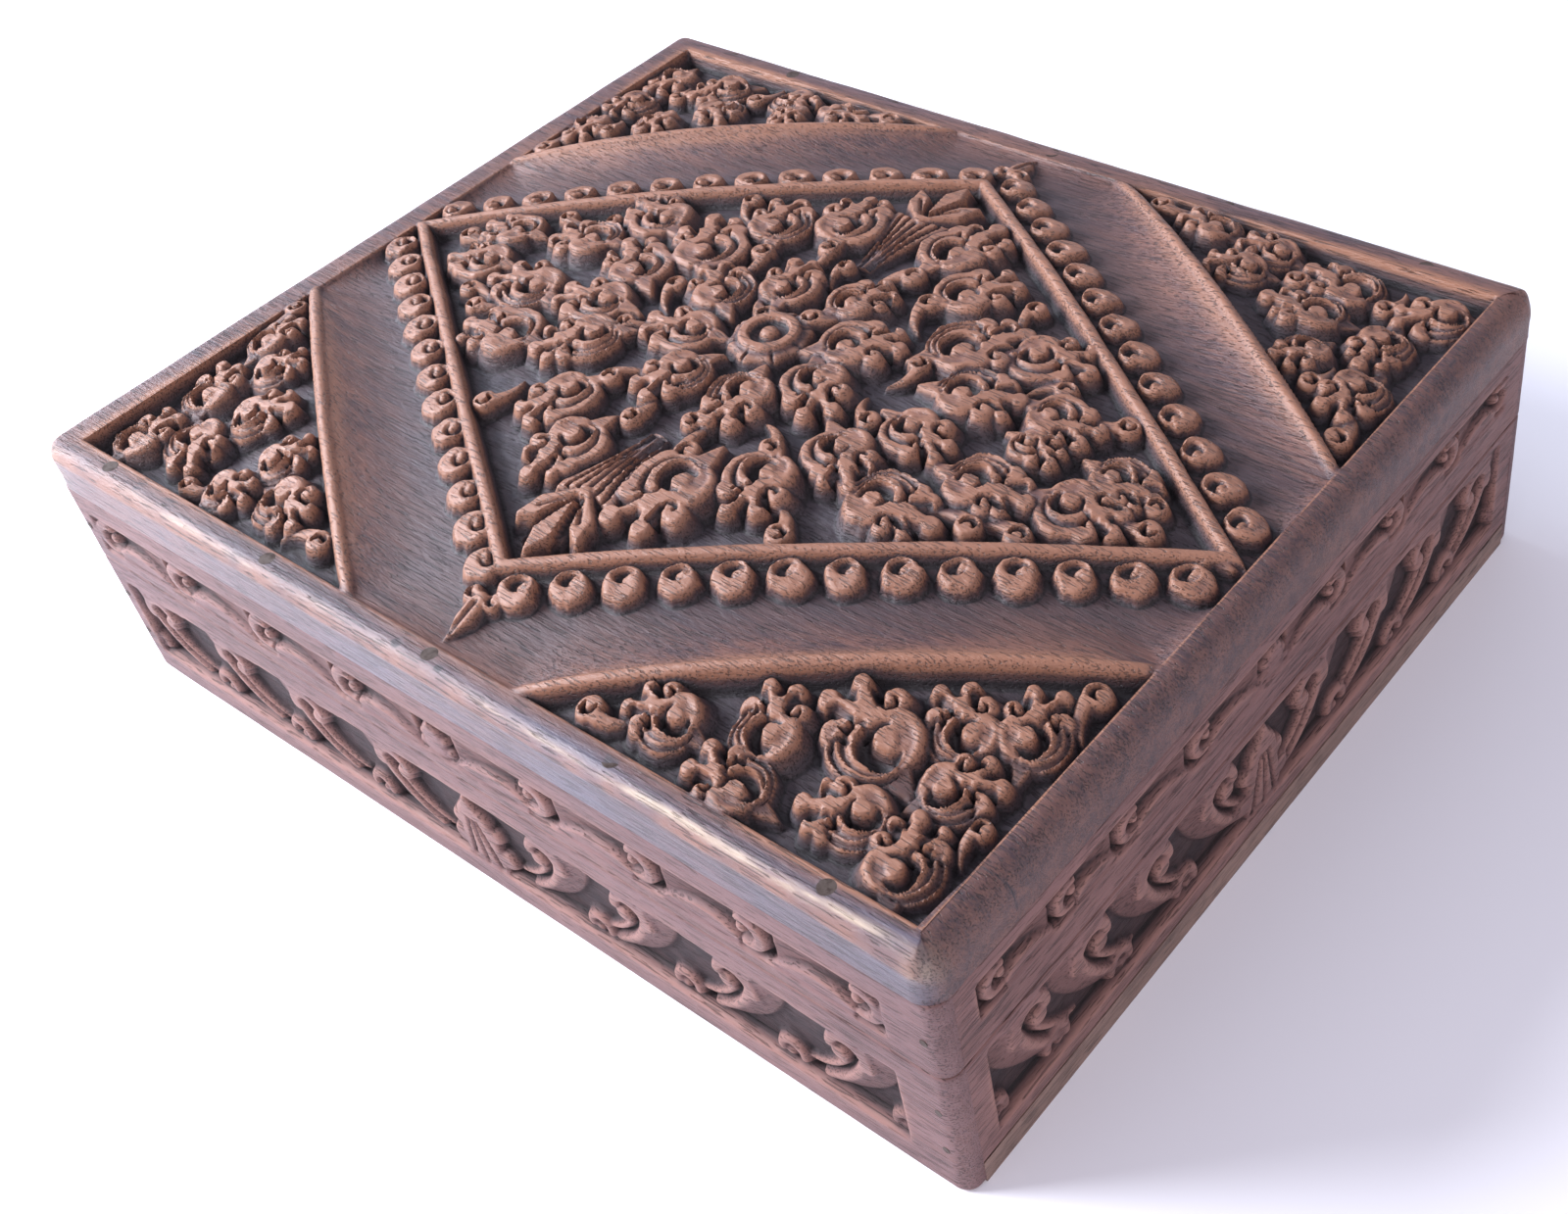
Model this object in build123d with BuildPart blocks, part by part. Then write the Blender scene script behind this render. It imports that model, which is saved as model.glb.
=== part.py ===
from build123d import *
import math
import os

# Carved hardwood box for stamps, 250 x 205 mm, with a crowned lid on two small brass hinges.
# Origin at the middle of the underside, +Z up, +X along the front wall from left to right, front face at -Y.

# Overall sizes of the closed box
box_length = 250.0
box_width = 205.0
base_height = 36.3
seam_gap = 0.3
rim_height = 20.5
board_edge_height = 11.2

# Walls and their joints
wall_thickness = 8.0
lip_thickness = 4.5
bottom_thickness = 6.0
corner_radius = 3.5

# Sunk friezes: depth, margins (below, above) on each kind of wall, and margins at the ends
frieze_depth = 2.2
motif_setback = 0.2
long_base_margins = (7.5, 6.6)
long_lid_margins = (3.4, 6.6)
short_base_margins = (4.3, 2.4)
short_lid_margins = (7.1, 4.4)
long_left_margin = 7.0
long_right_margin = 13.0
short_margin = 10.5
motifs_each_side = 4

# Lid board: border, crown and carving depths, counted from the flat border or the crown
border_width = 6.6
edge_round = 3.0
crown_height = 9.0
crown_edge_step = 0.4
corner_sink = 4.5
relief_depth = 4.2
band_depth = 2.4

# Diamond in the middle and the four ridges that cut the corners off
diamond_end_gap = 3.4
diamond_side_gap = 19.9
diamond_ridge_width = 4.0
corner_ridge_x = 24.0
corner_ridge_y = 30.5
corner_ridge_width = 5.0
corner_ridge_bow = 5.5
corner_ridge_foot = 1.0

# Small carved bosses
pearls_each_side = 13
pearl_radius = 3.9
pearl_sides = 8
rosette_radius = 8.5
rosette_ring_radius = 5.6
rosette_ring_width = 1.4
rosette_ring_depth = 1.4
leaf_length = 17.0
corner_leaf_length = 15.5
palmette_length = 24.0
palmette_root_y = 47.0

# Nails
nail_radius = 0.8
nail_clearance = 0.05
nail_head_radius = 1.7
nail_head_height = 0.8
board_nail_length = 22.0
corner_nail_length = 15.0
bottom_nail_length = 15.0
board_nail_inset = 4.2
board_nail_shares = (-0.82, -0.645, -0.375, 0.025, 0.415, 0.81)
base_corner_nail_rises = (13.0, 25.0)
lid_corner_nail_rises = (9.4,)
bottom_nail_spread = 62.0

# Hinges
hinge_end_gap = 49.0
hinge_length = 30.0
leaf_plate_depth = 7.0
leaf_plate_thickness = 1.2
barrel_radius = 2.2
barrel_clearance = 0.2
knuckle_gap = 0.2
pin_radius = 0.9
pin_clearance = 0.05
pin_head_radius = 1.5
pin_head_height = 0.7
screw_length = 7.0
screw_radius = 0.8
screw_head_radius = 1.8
screw_head_height = 1.0
screw_end_inset = 5.5
screw_clearance = 0.05

# Levels and half sizes that follow from the sizes above
half_x = box_length / 2
half_y = box_width / 2
end_wall_x = half_x - wall_thickness / 2
lip_y = half_y - lip_thickness
lid_floor = base_height + seam_gap
rim_top = lid_floor + rim_height
border_top = rim_top + board_edge_height
field_half_x = half_x - border_width
field_half_y = half_y - border_width
board_nail_tip = border_top - board_nail_length
base_corner_nail_z = base_corner_nail_rises
lid_corner_nail_z = [lid_floor + rise for rise in lid_corner_nail_rises]
hinge_y = half_y + barrel_radius + barrel_clearance
hinge_z = base_height + seam_gap / 2
hinge_middle = half_x - hinge_end_gap
hinge_middles = {"left": -hinge_middle, "right": hinge_middle}
screw_y = half_y - leaf_plate_depth / 2
screw_spread = hinge_length / 2 - screw_end_inset
screw_x = [middle + end * screw_spread for middle in hinge_middles.values() for end in (-1, 1)]
side_angles = {"front": 0, "right": 90, "back": 180, "left": 270}
quarters = [(sx, sy) for sx in (-1, 1) for sy in (-1, 1)]

os.makedirs("parts", exist_ok=True)


def keep(part, name):
    """Labels a finished piece and writes it."""
    part.label = name
    export_step(part, f"parts/{name}.step")


# Planes on the four sides


def plan_plane(side, height):
    """A level plane turned so that its X runs along the named side, seen from outside."""
    turn = math.radians(side_angles[side])
    return Plane(origin=(0, 0, height), x_dir=(math.cos(turn), math.sin(turn), 0), z_dir=(0, 0, 1))


def face_plane(side):
    """The outer face of the named side: X to the right, Y up, Z outwards."""
    half_depth = half_y if side in ("front", "back") else half_x
    turn = math.radians(side_angles[side])
    outwards = (math.sin(turn), -math.cos(turn), 0)
    origin = tuple(half_depth * component for component in outwards)
    return Plane(origin=origin, x_dir=(math.cos(turn), math.sin(turn), 0), z_dir=outwards)


def to_quarter(shape, sx, sy):
    """A copy of a shape of the +X +Y quarter, mirrored into the quarter with the given signs."""
    if sx < 0:
        shape = shape.mirror(Plane.YZ)
    if sy < 0:
        shape = shape.mirror(Plane.XZ)
    return shape


# Friezes


def frieze_extent(side):
    """Left and right end of the friezes on the named side, seen from outside."""
    if side in ("front", "back"):
        return -half_x + long_left_margin, half_x - long_right_margin
    return -half_y + short_margin, half_y - short_margin


def hook_leaf(x, low, high, pitch, sense):
    """Outline of one hooked leaf, cut in facets: a head under the top edge and a stem that sweeps away."""
    height = high - low
    head = 0.22 * height
    shoulder = high - 0.10 * height - head
    with BuildLine() as outline:
        Polyline(
            (x - sense * head, shoulder - 0.4 * head),
            (x - sense * head, shoulder + 0.4 * head),
            (x - sense * 0.4 * head, shoulder + head),
            (x + sense * 0.4 * head, shoulder + head),
            (x + sense * head, shoulder + 0.4 * head),
            (x + sense * 0.34 * pitch, low + 0.30 * height),
            (x + sense * 0.70 * pitch, low + 0.08 * height),
            (x + sense * 0.50 * pitch, low),
            (x + sense * 0.06 * pitch, low + 0.26 * height),
            close=True,
        )
    make_face(outline.line)


def centre_leaf(x, low, high, pitch):
    """Outline of the upright leaf in the middle of a frieze."""
    half_width = 0.18 * pitch
    height = high - low
    with BuildLine() as outline:
        Polyline(
            (x - half_width, low),
            (x - half_width, low + 0.5 * height),
            (x - 0.5 * half_width, low + 0.8 * height),
            (x, low + 0.92 * height),
            (x + 0.5 * half_width, low + 0.8 * height),
            (x + half_width, low + 0.5 * height),
            (x + half_width, low),
            close=True,
        )
    make_face(outline.line)


def carve_frieze(side, low, high):
    """Sinks a frieze into the open part and leaves its row of leaves standing nearly to the face."""
    left, right = frieze_extent(side)
    middle = (left + right) / 2
    pitch = (right - left) / (2 * motifs_each_side + 0.5)
    with BuildSketch(face_plane(side)) as panel:
        with Locations((middle, (low + high) / 2)):
            Rectangle(right - left, high - low)
    extrude(panel.sketch, amount=-frieze_depth, mode=Mode.SUBTRACT)
    with BuildSketch(face_plane(side).offset(-frieze_depth)) as leaves:
        centre_leaf(middle, low, high, pitch)
        for number in range(1, motifs_each_side + 1):
            hook_leaf(middle - number * pitch, low, high, pitch, 1)
            hook_leaf(middle + number * pitch, low, high, pitch, -1)
    extrude(leaves.sketch, amount=frieze_depth - motif_setback)


# Walls and what is let into them


def corner_spots(heights, y):
    """Points over the middle of the short walls' ends, at the given heights, on both sides of the middle."""
    return [(sx * end_wall_x, sy * y, z) for sx, sy in quarters for z in heights]


def long_wall(side, low, high, margins, nail_heights, bottom_rabbet=False):
    """A front or back wall: full length, with its ends rabbeted over the short walls."""
    with BuildPart() as wall:
        with BuildSketch(plan_plane(side, low)):
            with Locations((0, -half_y + wall_thickness / 2)):
                Rectangle(box_length, wall_thickness)
        extrude(amount=high - low)
        upright_edges = wall.edges().filter_by(Axis.Z)
        fillet([edge for edge in upright_edges if abs(edge.center().Y) > lip_y], corner_radius)
        with BuildSketch(plan_plane(side, low)):
            with Locations(*[(end * end_wall_x, -lip_y + wall_thickness / 2) for end in (-1, 1)]):
                Rectangle(wall_thickness, wall_thickness)
        extrude(amount=high - low, mode=Mode.SUBTRACT)
        if bottom_rabbet:
            with BuildSketch(plan_plane(side, low)):
                with Locations((0, -lip_y + wall_thickness / 2)):
                    Rectangle(box_length, wall_thickness)
            extrude(amount=bottom_thickness, mode=Mode.SUBTRACT)
        carve_frieze(side, low + margins[0], high - margins[1])
        with Locations(*corner_spots(nail_heights, half_y - lip_thickness / 2)):
            Cylinder(nail_radius + nail_clearance, lip_thickness, rotation=(90, 0, 0), mode=Mode.SUBTRACT)
    return wall


def short_wall(side, low, high, margins, nail_heights):
    """A left or right wall: it fits between the rabbets of the long walls."""
    hole_depth = corner_nail_length - lip_thickness + nail_clearance
    with BuildPart() as wall:
        with BuildSketch(plan_plane(side, low)):
            with Locations((0, -end_wall_x)):
                Rectangle(2 * lip_y, wall_thickness)
        extrude(amount=high - low)
        carve_frieze(side, low + margins[0], high - margins[1])
        with Locations(*corner_spots(nail_heights, lip_y - hole_depth / 2)):
            Cylinder(nail_radius + nail_clearance, hole_depth, rotation=(90, 0, 0), mode=Mode.SUBTRACT)
    return wall


def corner_nails(heights):
    """Headless nails through the long walls' lips into the short walls."""
    with BuildPart() as nails:
        with Locations(*corner_spots(heights, half_y - corner_nail_length / 2)):
            Cylinder(nail_radius, corner_nail_length, rotation=(90, 0, 0))
    return nails


def headed_nails(spots, tip_height, length, head_height):
    """Upright nails from the tip's height, with a flat head that starts at the given height."""
    with BuildPart() as nails:
        with BuildSketch(Plane.XY.offset(tip_height)):
            with Locations(*spots):
                Circle(nail_radius)
        extrude(amount=length)
        with BuildSketch(Plane.XY.offset(head_height)):
            with Locations(*spots):
                Circle(nail_head_radius)
        extrude(amount=nail_head_height)
    return nails


def cut_round_holes(spots, low, depth, radius):
    """Cuts upright round holes into the open part, from the given height upwards."""
    with BuildSketch(Plane.XY.offset(low)) as holes:
        with Locations(*spots):
            Circle(radius + nail_clearance)
    extrude(holes.sketch, amount=depth, mode=Mode.SUBTRACT)


def cut_hinge_seats(height, upwards):
    """Lets the leaves of both hinges and their screws into the open part at the given height."""
    seat = Plane(origin=(0, half_y - leaf_plate_depth / 2, height), x_dir=(1, 0, 0), z_dir=(0, 0, upwards))
    with BuildSketch(seat) as seats:
        with Locations(*[(middle, 0) for middle in hinge_middles.values()]):
            Rectangle(hinge_length, leaf_plate_depth)
    extrude(seats.sketch, amount=leaf_plate_thickness, mode=Mode.SUBTRACT)
    hole_depth = screw_length + screw_clearance
    with Locations(*[(x, screw_y, height + upwards * hole_depth / 2) for x in screw_x]):
        Cylinder(screw_radius + screw_clearance, hole_depth, mode=Mode.SUBTRACT)


# Base

base_front_wall = long_wall("front", 0, base_height, long_base_margins, base_corner_nail_z, True)
keep(base_front_wall.part, "base_front_wall")

with BuildPart() as base_back_wall:
    add(long_wall("back", 0, base_height, long_base_margins, base_corner_nail_z, True).part)
    cut_hinge_seats(base_height, -1)
keep(base_back_wall.part, "base_back_wall")

bottom_nail_y = (-bottom_nail_spread, 0, bottom_nail_spread)
bottom_nail_spots = [(side * end_wall_x, y) for side in (-1, 1) for y in bottom_nail_y]
bottom_nail_reach = bottom_nail_length - bottom_thickness + nail_clearance

for side in ("left", "right"):
    with BuildPart() as base_side_wall:
        add(short_wall(side, bottom_thickness, base_height, short_base_margins, base_corner_nail_z).part)
        cut_round_holes(bottom_nail_spots, bottom_thickness, bottom_nail_reach, nail_radius)
    keep(base_side_wall.part, f"base_{side}_wall")

with BuildPart() as bottom_board:
    with BuildSketch():
        Rectangle(box_length, 2 * lip_y)
    extrude(amount=bottom_thickness)
    cut_round_holes(bottom_nail_spots, 0, bottom_thickness, nail_radius)
    cut_round_holes(bottom_nail_spots, 0, nail_head_height, nail_head_radius)
keep(bottom_board.part, "bottom_board")

keep(headed_nails(bottom_nail_spots, 0, bottom_nail_length, 0).part, "bottom_nails")
keep(corner_nails(base_corner_nail_z).part, "base_corner_nails")

# Lid rim

board_nail_spots = [
    (share * half_x, side * (half_y - board_nail_inset)) for side in (-1, 1) for share in board_nail_shares
]

for side in ("front", "back"):
    with BuildPart() as long_rim:
        add(long_wall(side, lid_floor, rim_top, long_lid_margins, lid_corner_nail_z).part)
        if side == "back":
            cut_hinge_seats(lid_floor, 1)
        cut_round_holes(board_nail_spots, board_nail_tip - nail_clearance, rim_height, nail_radius)
    keep(long_rim.part, f"lid_{side}_rim")

for side in ("left", "right"):
    short_rim = short_wall(side, lid_floor, rim_top, short_lid_margins, lid_corner_nail_z)
    keep(short_rim.part, f"lid_{side}_rim")

keep(corner_nails(lid_corner_nail_z).part, "lid_corner_nails")

# Lid board

# The crown is part of a ring surface: an arc along X turned about an axis along X, far below the box.
crown_top = border_top + crown_height
crown_fall = crown_height - crown_edge_step
crown_y_radius = (field_half_y**2 + crown_fall**2) / (2 * crown_fall)
diamond_half_x = field_half_x - diamond_end_gap
diamond_half_y = field_half_y - diamond_side_gap
diamond_side = math.hypot(diamond_half_x, diamond_half_y)
ridge_start = (corner_ridge_x, field_half_y)
ridge_end = (field_half_x, corner_ridge_y)
ridge_length = math.dist(ridge_start, ridge_end)

# Heads of the scroll leaves in a quarter of the diamond, as shares of its half sizes, and where each points
middle_leaves = [
    (0.12, 0.66, 75),
    (0.26, 0.51, 50),
    (0.08, 0.32, 70),
    (0.36, 0.33, 35),
    (0.52, 0.33, 20),
    (0.20, 0.12, 40),
    (0.43, 0.09, 15),
    (0.59, 0.14, 10),
    (0.76, 0.08, 0),
]

# Heads of the scroll leaves in one corner field, as distances in from its outer corner, and where each points
corner_leaves = [
    (71, 7, 180),
    (55, 9, 150),
    (32, 9, 150),
    (9, 9, 120),
    (46, 21, 160),
    (28, 26, 150),
    (9, 28, 110),
    (20, 39, 140),
    (7, 47, 100),
]


def crown_blank(sink):
    """A solid under the crowned surface, sunk by the given depth."""
    top = crown_top - sink
    swing = math.degrees(math.asin(field_half_y / (crown_y_radius - crown_fall))) + 1
    with BuildPart() as blank:
        with BuildSketch(Plane.XZ) as section:
            with BuildLine():
                edge = top - crown_fall
                crest = ThreePointArc((-field_half_x, edge), (0, top), (field_half_x, edge))
                Polyline(crest @ 1, (field_half_x, rim_top), (-field_half_x, rim_top), crest @ 0)
            make_face()
        axis = Axis((0, 0, top - crown_y_radius), (1, 0, 0))
        revolve(section.sketch, axis=axis, revolution_arc=swing)
        revolve(section.sketch, axis=axis, revolution_arc=-swing)
    return blank.part


def under_crown(outline, sink):
    """Raises an outline from inside the board to the crowned surface, sunk by the given depth."""
    with BuildPart() as raised:
        extrude(outline, amount=crown_top + 1 - rim_top)
        add(crown_blank(sink), mode=Mode.INTERSECT)
    return raised.part


def diamond_outline(grow):
    """The diamond, its sides moved outwards by the given distance."""
    share = 1 + grow * diamond_side / (diamond_half_x * diamond_half_y)
    x, y = diamond_half_x * share, diamond_half_y * share
    with BuildLine() as outline:
        Polyline((x, 0), (0, y), (-x, 0), (0, -y), close=True)
    make_face(outline.line)


def scroll_leaf(length):
    """A curled acanthus leaf at the origin, cut in facets: a head on the left, three lobes on the right."""
    head = 0.28 * length
    with BuildLine() as outline:
        Polyline(
            (-head, -0.4 * head),
            (-head, 0.4 * head),
            (-0.4 * head, head),
            (0.4 * head, head),
            (0.66 * length, 0.26 * length),
            (0.54 * length, 0.08 * length),
            (0.74 * length, -0.04 * length),
            (0.54 * length, -0.12 * length),
            (0.58 * length, -0.32 * length),
            (0.10 * length, -0.30 * length),
            close=True,
        )
    make_face(outline.line)


def half_palmette():
    """Half of a fan of five pointed lobes, with its root at the origin."""
    with BuildLine() as outline:
        Polyline(
            (0, 0),
            (0.10 * palmette_length, 0.35 * palmette_length),
            (0.34 * palmette_length, 0.50 * palmette_length),
            (0.20 * palmette_length, 0.62 * palmette_length),
            (0.24 * palmette_length, 0.84 * palmette_length),
            (0.10 * palmette_length, 0.78 * palmette_length),
            (0, palmette_length),
            close=True,
        )
    make_face(outline.line)


def pearl_spots():
    """Middles of the pearls along the four sides of the diamond, just outside its ridge."""
    offset = diamond_ridge_width / 2 + pearl_radius
    shift_x = diamond_half_y / diamond_side * offset
    shift_y = diamond_half_x / diamond_side * offset
    spots = []
    for number in range(pearls_each_side):
        share = (number + 0.5) / pearls_each_side
        x = diamond_half_x * (1 - share) + shift_x
        y = diamond_half_y * share + shift_y
        if x + pearl_radius < field_half_x:
            spots += [(sx * x, sy * y) for sx, sy in quarters]
    return spots


with BuildSketch(Plane.XY.offset(rim_top)) as band_outline:
    with BuildLine():
        right_side = Polyline(
            (corner_ridge_x, field_half_y),
            (field_half_x, corner_ridge_y),
            (field_half_x, -corner_ridge_y),
            (corner_ridge_x, -field_half_y),
        )
        left_side = Polyline(
            (-corner_ridge_x, -field_half_y),
            (-field_half_x, -corner_ridge_y),
            (-field_half_x, corner_ridge_y),
            (-corner_ridge_x, field_half_y),
        )
        Line(right_side @ 1, left_side @ 0)
        Line(left_side @ 1, right_side @ 0)
    make_face()
    with BuildSketch(mode=Mode.SUBTRACT):
        diamond_outline(0)

with BuildSketch(Plane.XY.offset(rim_top)) as ground_outline:
    diamond_outline(0)

with BuildSketch() as one_middle_leaf:
    scroll_leaf(leaf_length)

with BuildSketch() as one_corner_leaf:
    scroll_leaf(corner_leaf_length)

with BuildSketch() as palmette_half:
    half_palmette()

with BuildSketch(Plane.XY.offset(rim_top)) as standing_outline:
    diamond_outline(diamond_ridge_width / 2)
    with BuildSketch(mode=Mode.SUBTRACT):
        diamond_outline(-diamond_ridge_width / 2)
    Circle(rosette_radius)
    for sx, sy in quarters:
        for share_x, share_y, heading in middle_leaves:
            place = Location((share_x * diamond_half_x, share_y * diamond_half_y, 0))
            add(to_quarter(one_middle_leaf.sketch.rotate(Axis.Z, heading).moved(place), sx, sy))
        add(to_quarter(palmette_half.sketch.moved(Location((0, palmette_root_y, 0))), sx, sy))
    with Locations(*pearl_spots()):
        RegularPolygon(pearl_radius, pearl_sides)

with BuildSketch(Plane.XY.offset(border_top - corner_sink)) as corner_bosses:
    for sx, sy in quarters:
        for inset_x, inset_y, heading in corner_leaves:
            place = Location((field_half_x - inset_x, field_half_y - inset_y, 0))
            add(to_quarter(one_corner_leaf.sketch.rotate(Axis.Z, heading).moved(place), sx, sy))
    Rectangle(2 * field_half_x, 2 * field_half_y, mode=Mode.INTERSECT)

with BuildPart() as corner_ridge:
    along = Plane(
        origin=(ridge_start[0], ridge_start[1], border_top),
        x_dir=(ridge_end[0] - ridge_start[0], ridge_end[1] - ridge_start[1], 0),
        z_dir=(ridge_start[1] - ridge_end[1], ridge_end[0] - ridge_start[0], 0),
    )
    with BuildSketch(along):
        with BuildLine():
            crest = ThreePointArc((0, 0), (ridge_length / 2, -corner_ridge_bow), (ridge_length, 0))
            Polyline(crest @ 1, (ridge_length, corner_sink), (0, corner_sink), crest @ 0)
        make_face()
    extrude(amount=corner_ridge_width / 2, both=True)
    crest_edges = corner_ridge.edges().filter_by(GeomType.CIRCLE)
    chamfer(crest_edges, corner_ridge_width / 2 - corner_ridge_foot)

with BuildPart() as lid_board:
    with BuildSketch(Plane.XY.offset(rim_top)):
        RectangleRounded(box_length, box_width, corner_radius)
    extrude(amount=board_edge_height)
    fillet(lid_board.faces().sort_by(Axis.Z)[-1].edges(), edge_round)
    with BuildSketch(Plane.XY.offset(border_top)):
        Rectangle(2 * field_half_x, 2 * field_half_y)
    extrude(amount=-corner_sink, mode=Mode.SUBTRACT)
    band = under_crown(band_outline.sketch, band_depth)
    ground = under_crown(ground_outline.sketch, relief_depth)
    standing = under_crown(standing_outline.sketch, 0)
    add([band, ground, standing])
    extrude(corner_bosses.sketch, amount=corner_sink)
    add([to_quarter(corner_ridge.part, sx, sy) for sx, sy in quarters])
    with BuildSketch(Plane.XY.offset(crown_top - rosette_ring_depth)):
        Circle(rosette_ring_radius)
        Circle(rosette_ring_radius - rosette_ring_width, mode=Mode.SUBTRACT)
    extrude(amount=crown_height, mode=Mode.SUBTRACT)
    cut_round_holes(board_nail_spots, rim_top, board_edge_height, nail_radius)
    cut_round_holes(board_nail_spots, border_top - nail_head_height, nail_head_height, nail_head_radius)
keep(lid_board.part, "lid_board")

board_nails = headed_nails(board_nail_spots, board_nail_tip, board_nail_length, border_top - nail_head_height)
keep(board_nails.part, "lid_board_nails")

# Hinges


def hinge_leaf(middle, upwards):
    """One leaf: a plate let into the wall and its share of three knuckles round the pin."""
    knuckle = hinge_length / 3
    plate_z = hinge_z + upwards * (seam_gap + leaf_plate_thickness) / 2
    own_knuckles = (-knuckle, knuckle) if upwards < 0 else (0,)
    seam_face = Plane(
        origin=(middle, screw_y, hinge_z + upwards * seam_gap / 2), x_dir=(1, 0, 0), z_dir=(0, 0, -upwards)
    )
    with BuildPart() as leaf:
        with Locations((middle, half_y - leaf_plate_depth / 2, plate_z)):
            Box(hinge_length, leaf_plate_depth, leaf_plate_thickness)
        with Locations(*[(middle + place, (half_y + hinge_y) / 2, plate_z) for place in own_knuckles]):
            Box(knuckle - knuckle_gap, hinge_y - half_y, leaf_plate_thickness)
        with Locations(*[(middle + place, hinge_y, hinge_z) for place in own_knuckles]):
            Cylinder(barrel_radius, knuckle - knuckle_gap, rotation=(0, 90, 0))
        with Locations((middle, hinge_y, hinge_z)):
            Cylinder(pin_radius + pin_clearance, hinge_length, rotation=(0, 90, 0), mode=Mode.SUBTRACT)
        with Locations(seam_face):
            with Locations((-screw_spread, 0), (screw_spread, 0)):
                CounterSinkHole(
                    screw_radius + screw_clearance, screw_head_radius + screw_clearance, leaf_plate_thickness
                )
    return leaf


def hinge_screws(upwards):
    """Countersunk screws that hold the leaves of both hinges on one side of the seam."""
    top = hinge_z + upwards * seam_gap / 2
    point_length = 2 * screw_radius
    with BuildPart() as screws:
        for x in screw_x:
            with BuildSketch(Plane(origin=(x, screw_y, top), x_dir=(1, 0, 0), z_dir=(0, -1, 0))):
                with BuildLine():
                    Polyline(
                        (0, 0),
                        (screw_head_radius, 0),
                        (screw_radius, upwards * screw_head_height),
                        (screw_radius, upwards * (screw_length - point_length)),
                        (0, upwards * screw_length),
                        close=True,
                    )
                make_face()
            revolve(axis=Axis((x, screw_y, 0), (0, 0, 1)))
    return screws


def hinge_pin(middle):
    """The pin of one hinge, with a small head at each end."""
    with BuildPart() as pin:
        with Locations((middle, hinge_y, hinge_z)):
            Cylinder(pin_radius, hinge_length, rotation=(0, 90, 0))
        head_x = (hinge_length + pin_head_height) / 2
        with Locations(*[(middle + end * head_x, hinge_y, hinge_z) for end in (-1, 1)]):
            Cylinder(pin_head_radius, pin_head_height, rotation=(0, 90, 0))
    return pin


for name, middle in hinge_middles.items():
    keep(hinge_leaf(middle, -1).part, f"{name}_hinge_base_leaf")
    keep(hinge_leaf(middle, 1).part, f"{name}_hinge_lid_leaf")
    keep(hinge_pin(middle).part, f"{name}_hinge_pin")

keep(hinge_screws(-1).part, "base_hinge_screws")
keep(hinge_screws(1).part, "lid_hinge_screws")
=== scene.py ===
import functools
import math

import bpy
import numpy as np
from mathutils import Matrix, Vector


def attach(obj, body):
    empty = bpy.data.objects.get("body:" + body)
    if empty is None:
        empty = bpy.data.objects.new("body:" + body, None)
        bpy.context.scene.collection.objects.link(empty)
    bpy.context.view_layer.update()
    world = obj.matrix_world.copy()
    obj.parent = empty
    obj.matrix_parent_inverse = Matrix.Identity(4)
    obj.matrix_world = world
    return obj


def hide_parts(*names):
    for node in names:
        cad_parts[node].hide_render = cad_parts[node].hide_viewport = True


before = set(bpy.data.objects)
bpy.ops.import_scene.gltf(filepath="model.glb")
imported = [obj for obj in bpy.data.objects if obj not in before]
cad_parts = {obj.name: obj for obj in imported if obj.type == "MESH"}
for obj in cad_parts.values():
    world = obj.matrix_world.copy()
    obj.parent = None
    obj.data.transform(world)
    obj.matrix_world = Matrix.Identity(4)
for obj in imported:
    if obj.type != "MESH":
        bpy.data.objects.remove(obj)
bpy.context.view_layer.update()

# The box in millimetres, as the frame has it: half sizes from its middle, and levels above the table

MM = 0.001
HALF_X = 125.0
HALF_Y = 102.5
CORNER_RADIUS = 3.5
WALL = 8.0
LIP_Y = HALF_Y - 4.5
SHORT_WALL_FOOT = 6.0
BASE_TOP = 36.3
LID_FLOOR = 36.6
BOARD_UNDER = 57.1
BORDER_TOP = 68.3
TOP_LEVEL = 77.2

# Seats of the hinge leaves in the back walls. A close pair of stations makes each of their sides upright.
SEAT_PLACES = (-76.0, 76.0)
SEAT_EDGES = (-15.0, -14.98, 14.98, 15.0)
SEAT_HALF = 14.99
SEAT_DEPTH = 1.25
SEAT_FADE = 3.0

# The carved field of the lid and the lines that divide it. x and y spans, then points of the first quarter.
FIELD_X = (-116.5, 119.0)
FIELD_Y = (-96.0, 95.5)
DIAMOND = (115.0, 76.0)
RIDGE_START = (24.0, 95.9)
RIDGE_END = (118.4, 30.5)
DIAMOND_RIDGE = 1.4
RIDGE_HALF = 1.5
RIDGE_RISE = 5.6

# Spans of the carved grid, which reaches a little over the field's edge, and the sizes of the grids' cells
GRID_X = (FIELD_X[0] - 0.7, FIELD_X[1] + 0.4)
GRID_Y = (FIELD_Y[0] - 0.6, FIELD_Y[1] + 0.5)
LID_CELL = 0.36
WALL_CELL = 0.42

# Height of the crowned surface in the middle, and how fast it falls along x and y
CROWN_HEIGHT = 9.0
CROWN_FALL = (6.4e-4, 9.2e-4)

# Depths of the carving, and millimetres of fall for each millimetre outwards on the sides of what stands
LEAF_DEPTH = 4.7
BAND_DEPTH = 3.3
CORNER_DEPTH = 4.6
CORNER_SINK = 5.0
FRIEZE_DEPTH = 2.9
SIDE_SLOPE = 3.2
FIELD_SLOPE = 4.0
ARRIS_SHARE = 0.8
FAR_BELOW = -99

# Sizes of the motifs
CORNER_LEAF_SIZE = 1.01
DIAMOND_LEAF_SIZE = 1.10 * CORNER_LEAF_SIZE
PEARL_RADIUS = 3.9
PEARLS_IN_ROW = 13
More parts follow.
